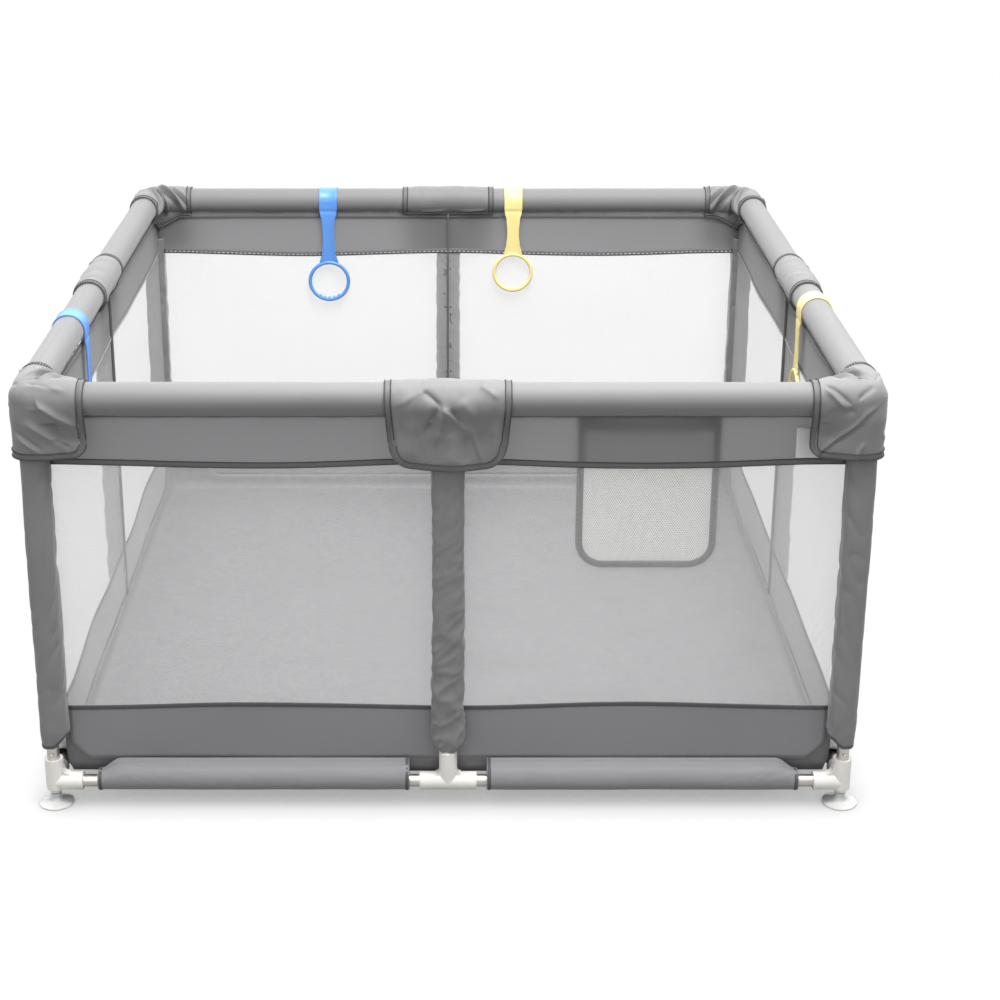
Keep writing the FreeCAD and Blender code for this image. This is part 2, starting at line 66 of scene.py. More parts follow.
# %% Read the places that every piece is measured from
sleeve_low, sleeve_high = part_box("rail_sleeve_front")
rail_y = (sleeve_low.y + sleeve_high.y) / 2
rail_z = (sleeve_low.z + sleeve_high.z) / 2
rail_radius = (sleeve_high.z - sleeve_low.z) / 2
rail_end = sleeve_high.x
axis_reach = -rail_y
wall_low, wall_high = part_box("wall_panel_front")
wall_y = (wall_low.y + wall_high.y) / 2
wall_end = wall_high.x + 0.0022
band_end = -wall_y - 0.0006
tube_low, tube_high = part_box("bottom_rail_tubes_front")
low_rail_z = (tube_low.z + tube_high.z) / 2
floor_low, floor_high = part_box("floor_sheet")
post_low, post_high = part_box("corner_post_sleeves")
mid_low, mid_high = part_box("mid_post_sleeves")
low_cuff_in = 0.060
low_cuff_out = 0.543
print("rail axis", round(rail_y, 4), round(rail_z, 4), "radius", round(rail_radius, 4))

# %% [markdown]
# ## Camera
# A long lens stands well back and above the rail, and looks down into the playpen. It could be
# turned to put the playpen where it should be in the frame; shifting the lens does that and keeps
# the front rail level.

# %% Camera and a maker of soft lights
camera_data = bpy.data.cameras.new("camera")
sensor_mm, lens_mm = 36, 68.84
look_down = math.radians(19.48)
camera_data.sensor_width = sensor_mm
camera_data.lens = lens_mm
camera_data.shift_x, camera_data.shift_y = 0.0519, -0.1
camera = bpy.data.objects.new("camera", camera_data)
camera.location = (0, -3.219, 1.588)
camera.rotation_euler = (math.pi / 2 - look_down, 0, 0)
bpy.context.scene.collection.objects.link(camera)
bpy.context.scene.camera = camera
bpy.context.scene.view_settings.view_transform = "Standard"


def soft_light(name, place, aim, size, power):
    """Large square studio light that points from place to aim."""
    data = bpy.data.lights.new(name, "AREA")
    data.size = size
    data.energy = power
    light = bpy.data.objects.new(name, data)
    light.location = place
    light.rotation_euler = (Vector(aim) - Vector(place)).to_track_quat("-Z", "Y").to_euler()
    bpy.context.scene.collection.objects.link(light)


# %% [markdown]
# ## Materials
# Effects that several finishes share are node groups: a plain weave with its colour flecks, a fine
# knitted mesh with real holes, and the slow mottling of sewn cloth. Each group gives out colours,
# masks and heights only; the shader stays in the material.

# %% Small helpers for nodes
def new_group(name, inputs, outputs):
    """Empty shader group with named sockets; returns the group, its input and output nodes."""
    group = bpy.data.node_groups.new(name, "ShaderNodeTree")
    for label, kind, value in inputs:
        socket = group.interface.new_socket(label, in_out="INPUT", socket_type=kind)
        socket.default_value = value
    for label, kind in outputs:
        group.interface.new_socket(label, in_out="OUTPUT", socket_type=kind)
    return group, group.nodes.new("NodeGroupInput"), group.nodes.new("NodeGroupOutput")


def add(tree, kind, links=None, **settings):
    """Node with its settings, and links or values for its sockets."""
    node = tree.nodes.new("ShaderNode" + kind)
    for key, value in settings.items():
        setattr(node, key, value)
    for key, value in (links or {}).items():
        socket = node.inputs[key]
        if isinstance(value, bpy.types.NodeSocket):
            tree.links.new(value, socket)
        else:
            socket.default_value = value
    return node


def maths(tree, operation, *values):
    """Math node's output for values and sockets."""
    return add(tree, "Math", dict(enumerate(values)), operation=operation).outputs[0]


def blend_colours(tree, factor, first, second):
    """Colour between first and second."""
    node = tree.nodes.new("ShaderNodeMix")
    node.data_type = "RGBA"
    for socket, value in ((node.inputs[0], factor), (node.inputs[6], first),
                          (node.inputs[7], second)):
        if isinstance(value, bpy.types.NodeSocket):
            tree.links.new(value, socket)
        else:
            socket.default_value = value
    return node.outputs[2]


# %% [markdown]
# ## Studio light
# Grey cloth shows its folds only if light comes mostly from one way. A large lamp over the front
# does that, and a weak one from the left keeps the skirts readable. The walls of the studio are
# white to the camera but dimmer to the cloth, so that the grey doesn't wash out.

# %% Studio world and lights
def studio_world():
    """White backdrop for the camera; for the light, a bright ceiling and dimmer walls."""
    world = bpy.data.worlds.new("studio")
    world.use_nodes = True
    tree = world.node_tree
    ways = add(tree, "SeparateXYZ", {0: add(tree, "TexCoord").outputs["Generated"]})
    ceiling = add(tree, "MapRange", {"Value": ways.outputs[2], "From Min": -0.1, "From Max": 0.95,
                                     "To Min": 0.42, "To Max": 1.5},
                  interpolation_type="SMOOTHSTEP").outputs[0]
    backdrop = add(tree, "MapRange", {"Value": ways.outputs[1], "From Min": 0.1, "From Max": 0.9,
                                      "To Min": 0.0, "To Max": 1.6}).outputs[0]
    seen = add(tree, "LightPath").outputs["Is Camera Ray"]
    level = add(tree, "MapRange", {"Value": seen, "To Min": maths(tree, "ADD", ceiling, backdrop),
                                   "To Max": 1.0}).outputs[0]
    tree.links.new(level, tree.nodes["Background"].inputs["Strength"])
    tree.nodes["Background"].inputs["Color"].default_value = (1, 1, 1, 1)
    bpy.context.scene.world = world


studio_world()
soft_light("overhead", (0.3, -0.8, 3.0), (0, 0, 0.3), 1.4, 137)
soft_light("front_fill", (-1.2, -3.4, 1.6), (0, 0, 0.3), 2.2, 12)


# %% [markdown]
# ### Woven cloth
# The real cover is a plain polyester weave. Modelling threads would take millions of faces, so two
# crossed sine waves stand for warp and weft, and slow noise stands for uneven dye.

# %% The weave group
def make_weave_group():
    """Plain weave: warp and weft bumps, darker gaps, and slow uneven dye."""
    group, given, out = new_group(
        "plain_weave",
        [("Thread Size", "NodeSocketFloat", 0.0007), ("Colour", "NodeSocketColor", (1, 1, 1, 1)),
         ("Gap Darkness", "NodeSocketFloat", 0.25), ("Mottle", "NodeSocketFloat", 0.08)],
        [("Colour", "NodeSocketColor"), ("Height", "NodeSocketFloat"),
         ("Roughness", "NodeSocketFloat")])
    place = add(group, "TexCoord").outputs["Object"]
    wave = maths(group, "DIVIDE", math.pi, given.outputs["Thread Size"])
    scaled = add(group, "VectorMath", {0: place, "Scale": wave}, operation="SCALE").outputs[0]
    axes = add(group, "SeparateXYZ", {0: scaled})
    across = maths(group, "ADD", axes.outputs[0], axes.outputs[1])
    ribs = maths(group, "ABSOLUTE", maths(group, "SINE", across))
    picks = maths(group, "ABSOLUTE", maths(group, "SINE", axes.outputs[2]))
    weave = maths(group, "MULTIPLY", maths(group, "ADD", ribs, picks), 0.5)
    slubs = add(group, "TexNoise", {"Vector": place, "Scale": 900.0, "Detail": 2.0})
    cloud = add(group, "TexNoise", {"Vector": place, "Scale": 9.0, "Detail": 4.0})
    height = maths(group, "ADD", weave, maths(group, "MULTIPLY", slubs.outputs["Fac"], 0.6))
    gap = maths(group, "MULTIPLY", maths(group, "SUBTRACT", 1.0, weave),
                given.outputs["Gap Darkness"])
    drift = maths(group, "MULTIPLY", maths(group, "SUBTRACT", cloud.outputs["Fac"], 0.5),
                  given.outputs["Mottle"])
    shade = maths(group, "SUBTRACT", maths(group, "ADD", 1.0, drift), gap)
    tint = add(group, "VectorMath", {0: given.outputs["Colour"], "Scale": shade},
               operation="SCALE").outputs[0]
    group.links.new(tint, out.inputs["Colour"])
    group.links.new(height, out.inputs["Height"])
    rough = maths(group, "ADD", 0.52, maths(group, "MULTIPLY", slubs.outputs["Fac"], 0.2))
    group.links.new(rough, out.inputs["Roughness"])
    return group


weave_group = make_weave_group()


# %% [markdown]
# ### Knitted mesh
# The walls are a net that you see through. Holes are cut by a mask in the material instead of in
# the geometry: the mask is 1 on yarn and 0 in a hole, and its share of yarn varies a little.

# %% The mesh group
def make_mesh_group():
    """Knitted mesh: a net of yarn, tighter in some places; the mask is 1 on yarn, 0 in a hole."""
    group, given, out = new_group(
        "knitted_mesh",
        [("Hole Pitch", "NodeSocketFloat", 0.0026), ("Yarn Share", "NodeSocketFloat", 0.5),
         ("Unevenness", "NodeSocketFloat", 0.1)],
        [("Yarn", "NodeSocketFloat"), ("Height", "NodeSocketFloat")])
    place = add(group, "TexCoord").outputs["Object"]
    wave = maths(group, "DIVIDE", math.pi, given.outputs["Hole Pitch"])
    scaled = add(group, "VectorMath", {0: place, "Scale": wave}, operation="SCALE").outputs[0]
    axes = add(group, "SeparateXYZ", {0: scaled})
    across = maths(group, "ADD", axes.outputs[0], axes.outputs[1])
    up = maths(group, "MULTIPLY", axes.outputs[2], 0.6)
    lean_one = maths(group, "ABSOLUTE", maths(group, "SINE", maths(group, "ADD", across, up)))
    lean_two = maths(group, "ABSOLUTE", maths(group, "SINE", maths(group, "SUBTRACT", across, up)))
    hole = maths(group, "MULTIPLY", lean_one, lean_two)
    stretched = add(group, "Mapping", {"Vector": place, "Scale": (1.0, 1.0, 2.6)}).outputs[0]
    tension = add(group, "TexNoise", {"Vector": stretched, "Scale": 95.0, "Detail": 3.0})
    uneven = maths(group, "MULTIPLY", maths(group, "SUBTRACT", tension.outputs["Fac"], 0.5),
                   given.outputs["Unevenness"])
    share = maths(group, "ADD", given.outputs["Yarn Share"], uneven)
    edge = maths(group, "SUBTRACT", share, hole)
    sharp = maths(group, "MULTIPLY", edge, 9.0)
    mask = add(group, "Math", {0: sharp, 1: 0.5}, operation="ADD", use_clamp=True).outputs[0]
    group.links.new(mask, out.inputs["Yarn"])
    group.links.new(maths(group, "SUBTRACT", 1.0, hole), out.inputs["Height"])
    return group


mesh_group = make_mesh_group()


# %% [markdown]
# ### Finishes
# Each kind of surface has one maker, so that two greys differ only in the values given to it. The
# upper band is thin: half its light passes through, which is why the pocket shows behind it.

# %% One maker for each finish
def new_material(name):
    """Material with an empty tree but for its Principled shader and output."""
    material = bpy.data.materials.new(name)
    material.use_nodes = True
    tree = material.node_tree
    return material, tree, tree.nodes["Principled BSDF"]


def use_group(tree, group, **values):
    """Shared effect placed in a material with its own values; _ in a name is a space."""
    node = tree.nodes.new("ShaderNodeGroup")
    node.node_tree = group
    for key, value in values.items():
        node.inputs[key.replace("_", " ")].default_value = value
    return node


def bump(tree, shader, height, distance, strength=1.0):
    """Bump on the shader from a height socket."""
    node = add(tree, "Bump", {"Height": height, "Distance": distance, "Strength": strength})
    tree.links.new(node.outputs[0], shader.inputs["Normal"])


def woven(name, colour, thread=0.0007, mottle=0.08, gap=0.25, sheen=0.2, through=None):
    """Woven polyester; through is the tint of light that shines through a thin cloth."""
    material, tree, shader = new_material(name)
    weave = use_group(tree, weave_group, Thread_Size=thread, Colour=(*colour, 1),
                      Gap_Darkness=gap, Mottle=mottle)
    tree.links.new(weave.outputs["Colour"], shader.inputs["Base Color"])
    tree.links.new(weave.outputs["Roughness"], shader.inputs["Roughness"])
    shader.inputs["Sheen Weight"].default_value = sheen
    shader.inputs["Sheen Roughness"].default_value = 0.4
    bump(tree, shader, weave.outputs["Height"], 0.0002, 0.5)
    if through:
        glow = add(tree, "BsdfTranslucent", {"Color": (*through, 1)})
        mix = add(tree, "MixShader", {0: 0.5, 1: shader.outputs[0], 2: glow.outputs[0]})
        tree.links.new(mix.outputs[0], tree.nodes["Material Output"].inputs["Surface"])
    return material


def knitted(name, colour, pitch, yarn_share, unevenness):
    """See-through knitted mesh."""
    material, tree, shader = new_material(name)
    net = use_group(tree, mesh_group, Hole_Pitch=pitch, Yarn_Share=yarn_share,
                    Unevenness=unevenness)
    shader.inputs["Base Color"].default_value = (*colour, 1)
    shader.inputs["Roughness"].default_value = 0.7
    glow = add(tree, "BsdfTranslucent", {"Color": (*colour, 1)})
    yarn = add(tree, "MixShader", {0: 0.4, 1: shader.outputs[0], 2: glow.outputs[0]})
    hole = add(tree, "BsdfTransparent")
    both = add(tree, "MixShader", {0: net.outputs["Yarn"], 1: hole.outputs[0],
                                   2: yarn.outputs[0]})
    tree.links.new(both.outputs[0], tree.nodes["Material Output"].inputs["Surface"])
    bump(tree, shader, net.outputs["Height"], 0.0002, 0.12)
    return material


def moulded(name, colour, roughness, grain=0.00006, through=0.0):
    """Moulded plastic with a fine spark-eroded grain and faint handling marks."""
    material, tree, shader = new_material(name)
    place = add(tree, "TexCoord").outputs["Object"]
    fine = add(tree, "TexNoise", {"Vector": place, "Scale": 1500.0, "Detail": 3.0})
    broad = add(tree, "TexNoise", {"Vector": place, "Scale": 30.0, "Detail": 4.0})
    worn = maths(tree, "ADD", maths(tree, "MULTIPLY", broad.outputs["Fac"], 0.16),
                 roughness - 0.08)
    tree.links.new(worn, shader.inputs["Roughness"])
    darker = [c * 0.88 for c in colour]
    tint = blend_colours(tree, broad.outputs["Fac"], (*darker, 1), (*colour, 1))
    tree.links.new(tint, shader.inputs["Base Color"])
    shader.inputs["Subsurface Weight"].default_value = through
    shader.inputs["Subsurface Radius"].default_value = (0.01, 0.01, 0.01)
    shader.inputs["Subsurface Scale"].default_value = 0.5
    bump(tree, shader, fine.outputs["Fac"], grain, 0.6)
    return material


def plated(name, colour, roughness):
    """Nickel-plated tube, drawn along its length, with faint cloudy patches."""
    material, tree, shader = new_material(name)
    place = add(tree, "TexCoord").outputs["Object"]
    cloud = add(tree, "TexNoise", {"Vector": place, "Scale": 45.0, "Detail": 5.0})
    scratch = add(tree, "TexNoise", {"Vector": place, "Scale": 1200.0, "Detail": 2.0})
    worn = maths(tree, "ADD", maths(tree, "MULTIPLY", cloud.outputs["Fac"], 0.2),
                 roughness - 0.1)
    tree.links.new(worn, shader.inputs["Roughness"])
    darker = [c * 0.85 for c in colour]
    tint = blend_colours(tree, cloud.outputs["Fac"], (*darker, 1), (*colour, 1))
    tree.links.new(tint, shader.inputs["Base Color"])
    shader.inputs["Metallic"].default_value = 1.0
    bump(tree, shader, scratch.outputs["Fac"], 0.00003, 0.5)
    return material


dark_tape = woven("dark_tape", (0.06, 0.06, 0.062), thread=0.0011, gap=0.4, sheen=0.1)
GREY = (0.163, 0.163, 0.166)
grey_cloth = woven("grey_cloth", GREY)
band_cloth = woven("band_cloth", (0.25, 0.25, 0.254), through=(0.23, 0.23, 0.236))
low_band_cloth = woven("low_band_cloth", (0.19, 0.19, 0.2))
binding_tape = woven("binding_tape", (0.11, 0.11, 0.113), thread=0.0011, gap=0.4, sheen=0.1)
floor_cloth = woven("floor_cloth", (0.135, 0.132, 0.14), thread=0.0012, sheen=0.05)
# Real stitches, but near-black and nearly continuous so that they paint the shade in the puckered
# seams beside each binding
thread_with_painted_seam_shade = moulded("thread_with_painted_seam_shade", (0.035, 0.035, 0.038), 0.7)
light_thread = moulded("light_thread", (0.5, 0.5, 0.5), 0.6)
wall_mesh = knitted("wall_mesh", (0.6, 0.6, 0.6), 0.0019, 0.31, 0.16)
pocket_mesh = knitted("pocket_mesh", (0.78, 0.78, 0.75), 0.0034, 0.62, 0.5)
white_tape = woven("white_tape", (0.58, 0.58, 0.58), thread=0.0005, mottle=0.2, gap=0.1)
dark_foam = moulded("dark_foam", (0.08, 0.08, 0.08), 0.9, 0.0003)
white_plastic = moulded("white_plastic", (0.66, 0.645, 0.61), 0.42)
milky_plastic = moulded("milky_plastic", (0.5, 0.51, 0.5), 0.28, through=0.3)
nickel_tube = plated("nickel_tube", (0.72, 0.68, 0.62), 0.34)
blue_plastic = moulded("blue_plastic", (0.09, 0.25, 0.62), 0.4, through=0.05)
yellow_plastic = moulded("yellow_plastic", (0.74, 0.62, 0.26), 0.4, through=0.05)

CAD_FINISHES = {
    "top_rail_tubes": nickel_tube, "bottom_rail_tubes": nickel_tube,
    "corner_post_tube": nickel_tube, "mid_post_tubes": nickel_tube,
    "snap_button": nickel_tube, "top_corner_connectors": white_plastic,
    "top_tee_connectors": white_plastic, "bottom_corner_connector": white_plastic,
    "bottom_tee_connector": white_plastic, "suction_foot": milky_plastic,
    "pull_ring_blue": blue_plastic, "pull_ring_yellow": yellow_plastic, "rail_foam": dark_foam,
}
for node_name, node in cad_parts.items():
    for start, finish in CAD_FINISHES.items():
        if node_name.startswith(start):
            node.data.materials.clear()
            node.data.materials.append(finish)
            for face in node.data.polygons:
                face.material_index = 0
print(len(bpy.data.materials), "materials")


# %% [markdown]
# ## Studio floor
# The floor is white to the camera and grey to the cloth. A painted white floor would throw too much
# light up under the covers, so the white is given to the camera only as a glow. Ambient occlusion
# dims that glow near the feet and bottom rails: a painted contact shadow.

# %% Floor of the studio
floor_paint, floor_tree, floor_shader = new_material("studio_floor")
seen_level = add(floor_tree, "LightPath").outputs["Is Camera Ray"]
floor_tint = blend_colours(floor_tree, seen_level, (0.27, 0.27, 0.27, 1), (0.01, 0.01, 0.01, 1))
# Painted contact shadow: ambient occlusion darkens the camera-only glow where things stand close to
# the floor
floor_occlusion = add(floor_tree, "AmbientOcclusion", {"Distance": 0.07}, samples=8).outputs["AO"]
glow_with_painted_contact_shadow = add(floor_tree, "MapRange", {"Value": floor_occlusion, "From Min": 0.3, "From Max": 0.9,
                                     "To Min": 0.35, "To Max": 1.0}).outputs[0]
floor_tree.links.new(floor_tint, floor_shader.inputs["Base Color"])
floor_tree.links.new(maths(floor_tree, "MULTIPLY", glow_with_painted_contact_shadow, seen_level),
                     floor_shader.inputs["Emission Strength"])
floor_shader.inputs["Emission Color"].default_value = (1, 1, 1, 1)
floor_shader.inputs["Specular IOR Level"].default_value = 0.0
floor_shader.inputs["Roughness"].default_value = 0.9
bpy.ops.mesh.primitive_plane_add(size=60, location=(0, 0, -0.0005))
studio_floor = bpy.context.object
studio_floor.name = "studio_floor"
studio_floor.data.materials.append(floor_paint)


# %% [markdown]
# ## Shaping helpers
# Almost every sewn part is a sheet drawn as a grid: a function says where the cloth is for each
# pair of numbers. Creases are pushed along the sheet's own normal afterwards. Tapes and rows of
# stitches then follow a line of points.

# %% Mesh helpers
def make_piece(name, verts, faces, material, slot, smooth=True, body=FIXED_BODY, turn=None):
    """Mesh object that rides on a body, turned to its side."""
    mesh = bpy.data.meshes.new(name)
    mesh.from_pydata([tuple(v) for v in verts], [], faces)
    if turn is not None:
        mesh.transform(turn)
    mesh.validate()
    mesh.shade_smooth() if smooth else mesh.shade_flat()
    mesh.materials.append(material)
    piece = bpy.data.objects.new(name, mesh)
    bpy.context.scene.collection.objects.link(piece)
    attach(piece, body)
    return piece


def grid_faces(columns, rows, wrap=False):
    """Quads of a grid stored row by row, each row columns + 1 points long (columns if wrapped)."""
    width = columns if wrap else columns + 1
    faces = []
    for r in range(rows):
        for c in range(columns):
            right = (c + 1) % width
            faces.append((r * width + c, r * width + right,
                          (r + 1) * width + right, (r + 1) * width + c))
    return faces


def grid_points(columns, rows, place, wrap=False):
    """Points of a grid; place(u, v) takes two numbers from 0 to 1."""
    count = columns if wrap else columns + 1
    return [Vector(place(c / columns, r / rows)) for r in range(rows + 1) for c in range(count)]


def grid_normals(points, columns, rows, wrap=False):
    """Unit normals of a grid's points, from their neighbours."""
    width = columns if wrap else columns + 1
    normals = []
    for r in range(rows + 1):
        for c in range(width):
            left = (c - 1) % width if wrap else max(c - 1, 0)
            right = (c + 1) % width if wrap else min(c + 1, width - 1)
            below, above = max(r - 1, 0), min(r + 1, rows)
            across = points[r * width + right] - points[r * width + left]
            along = points[above * width + c] - points[below * width + c]
            normal = across.cross(along)
            normals.append(normal.normalized() if normal.length > 1e-12 else Vector((0, 0, 1)))
    return normals


def pushed(points, normals, depth):
    """Points moved along their normals by depth(point)."""
    return [p + n * depth(p) for p, n in zip(points, normals)]


def crease(point, direction, long, short, seed):
    """Ridged noise from 0 to 1: narrow folds that run along direction."""
    direction = Vector(direction).normalized()
    side = direction.orthogonal().normalized()
    third = direction.cross(side)
    spot = Vector((point.dot(direction) / long + seed, point.dot(side) / short,
                   point.dot(third) / short - seed))
    return (1 - abs(noise.noise(spot)) * 1.7) ** 3 if abs(noise.noise(spot)) < 0.58 else 0.0


def thicken(piece, thickness, offset=0):
    """Give a sheet its thickness."""
    modifier = piece.modifiers.new("thickness", "SOLIDIFY")
    modifier.thickness = thickness
    modifier.offset = offset
    modifier.use_even_offset = False
    return piece


def ramp(value, low, high):
    """Smooth step from 0 at low to 1 at high."""
    t = min(max((value - low) / (high - low), 0), 1)
    return t * t * (3 - 2 * t)


def tape(name, path, outward, width, thickness, turn, closed=False, finish=None):
    """Folded binding tape along a path; outward(i) is the direction that its face looks."""
    verts, faces = [], []
    section = [(-0.5, -0.3), (-0.46, 0.35), (-0.3, 0.5), (0.3, 0.5), (0.46, 0.35), (0.5, -0.3),
               (0.3, -0.5), (-0.3, -0.5)]
    count = len(path)
    for i, point in enumerate(path):
        before = path[(i - 1) % count] if closed else path[max(i - 1, 0)]
        after = path[(i + 1) % count] if closed else path[min(i + 1, count - 1)]
        along = (after - before).normalized()
        face = Vector(outward(i))
        face = (face - along * face.dot(along)).normalized()
        side = along.cross(face)
        verts += [point + side * (a * width) + face * (b * thickness) for a, b in section]
    ring = len(section)
    spans = count if closed else count - 1
    for i in range(spans):
        j = (i + 1) % count
        for k in range(ring):
            m = (k + 1) % ring
            faces.append((i * ring + k, i * ring + m, j * ring + m, j * ring + k))
    if not closed:
        faces.append(tuple(range(ring))[::-1])
        faces.append(tuple(range((count - 1) * ring, count * ring)))
    return make_piece(name, verts, faces, finish or binding_tape, "grey_fabric", turn=turn)


def resample(path, pitch):
    """Points at an even pitch along a path."""
    out, carried = [], 0.0
    for a, b in zip(path, path[1:]):
        span = (b - a).length
        at = carried
        while at < span:
            out.append(a.lerp(b, at / span))
            at += pitch
        carried = at - span
    return out


def stitches(name, path, outward, turn, pitch=0.0042, length=0.0036, width=0.0011,
             material=None):
    """Row of raised stitches along a path: one small six-sided grain of thread for each. By default
    the thread is near-black, which paints the shade of the puckered seam.
    """
    spots = resample(path, pitch)
    verts, faces = [], []
    for a, b in zip(spots, spots[1:]):
        along = (b - a).normalized()
        face = Vector(outward(a))
        face = (face - along * face.dot(along)).normalized()
        side = along.cross(face)
        middle = (a + b) / 2
        base = len(verts)
        for t, grow in ((-0.5, 0.2), (-0.32, 1), (0.32, 1), (0.5, 0.2)):
            for s, f in ((-0.5, -0.25), (-0.35, 0.5), (0.35, 0.5), (0.5, -0.25)):
                verts.append(middle + along * (t * length) + side * (s * width * grow)
                             + face * (f * width * grow))
        for r in range(3):
            for k in range(4):
                m = (k + 1) % 4
                faces.append((base + r * 4 + k, base + r * 4 + m,
                              base + (r + 1) * 4 + m, base + (r + 1) * 4 + k))
        faces.append((base + 3, base + 2, base + 1, base))
        faces.append((base + 12, base + 13, base + 14, base + 15))
    return make_piece(name, verts, faces, material or thread_with_painted_seam_shade, "grey_fabric", turn=turn)


# %% [markdown]
# ## Padded top rails
# The real rail is a foam tube in a sewn sleeve. The sleeve is drawn as a tube whose radius wanders
# a little and puckers in small creases, with its closing seam underneath.

# %% Rail sleeves
def rail_sleeve(side, seed):
    """Both halves of one side's padded sleeve."""
    around, along = 40, 120
    start = 0.046
    verts, faces = [], []
    for sign in (-1, 1):
        def place(u, v, sign=sign):
            x = sign * (start + (rail_end - start) * v)
            angle = 2 * math.pi * u
            wander = noise.noise(Vector((x * 6 + seed, math.cos(angle), math.sin(angle))))
            pucker = crease(Vector((x, math.cos(angle) * 0.03, math.sin(angle) * 0.03)),
                            (0, 0, 1), 0.03, 0.012, seed + 3)
            seam = math.exp(-(math.sin(angle) + 1) / 0.06)
            radius = rail_radius - 0.0006 + 0.0005 * wander - 0.0007 * pucker * (1 - ramp(
                math.sin(angle), -0.9, -0.4)) - 0.0008 * seam
            return (x, rail_y + radius * math.cos(angle), rail_z + radius * math.sin(angle))
        base = len(verts)
        verts += grid_points(around, along, place, wrap=True)
        for face in grid_faces(around, along, wrap=True):
            faces.append(tuple(base + i for i in (face if sign < 0 else face[::-1])))
    piece = make_piece("rail_sleeve_cloth_" + side, verts, faces, grey_cloth, "grey_fabric",
                       turn=turn_of(side))
    thicken(piece, 0.0008, -1)
    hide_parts("rail_sleeve_" + side)


for number, side in enumerate(SIDES):
    rail_sleeve(side, number * 7.3)
print("4 padded rails")


# %% [markdown]
# ## Walls
# Each wall is three cloths sewn edge to edge: a fabric band under the rail, see-through mesh, and a
# lower band that ends above the bottom rail. Tapes cover the two joints.

# %% [markdown]
# ### Heights of the seams
# The cloths are held at the posts and sag a few millimetres between them, so each seam is a
# function of the place along the wall and not one number.

# %% Wall heights
band_top = wall_high.z
hem_width = 0.0095
mesh_top_z = 0.560
mesh_low_z = 0.160
seam_z = 0.068


def bay_sag(x):
    """0 at a post and 1 half way between two posts."""
    return math.sin(math.pi * min(abs(x), wall_end) / wall_end) ** 2


def band_bottom(x):
    """Lower edge of the upper band's hem."""
    return mesh_top_z - 0.0065 * bay_sag(x)


def low_band_top(x):
    """Upper edge of the lower band."""
    return mesh_low_z + 0.006 * bay_sag(x)


def wall_wave(x, z, seed, size):
    """How far the wall stands off its plane: long slack waves that die out at the posts."""
    held = ramp(abs(x), 0.0, 0.06) * (1 - ramp(abs(x), wall_end - 0.08, wall_end))
    return size * held * noise.noise(Vector((x * 5 + seed, z * 7, seed)))


# %% Upper band, mesh and lower band
def wall_cloth(name, side, columns, rows, bottom, top, reach, seed, size, material, slot,
               skin=0.0008, gathered=0.0):
    """One cloth of a wall from bottom(x) to top(x)."""
    def place(u, v):
        z_guess = bottom(0) + (top(0) - bottom(0)) * v
        half = reach(z_guess)
        x = -half + 2 * half * u
        z = bottom(x) + (top(x) - bottom(x)) * v
        return (x, wall_y + wall_wave(x, z, seed, size), z)
    points = grid_points(columns, rows, place)
    normals = grid_normals(points, columns, rows)

    def depth(p):
        edge = min(abs(p.z - top(p.x)), abs(p.z - bottom(p.x)))
        near = 1 - ramp(edge, 0.0, 0.03)
        pucker = crease(p, (0, 0, 1), 0.06, 0.028, seed) * ramp(p.z, top(p.x) - 0.03, top(p.x))
        return (0.0005 * near * noise.noise(Vector((p.x * 90, p.z * 20, seed)))
                + gathered * pucker)
    points = pushed(points, normals, depth)
    piece = make_piece(name + "_" + side, points, grid_faces(columns, rows), material, slot,
                       turn=turn_of(side))
    if skin:
        thicken(piece, skin)
    return piece


def notch_reach(z):
    """Half width of the lower band at a height: its corners are cut away round the connectors."""
    share = min(max((z - 0.055) / 0.053, 0), 1)
    return min(wall_end, 0.536 + 0.056 * share + 0.006 * math.sin(math.pi * share))


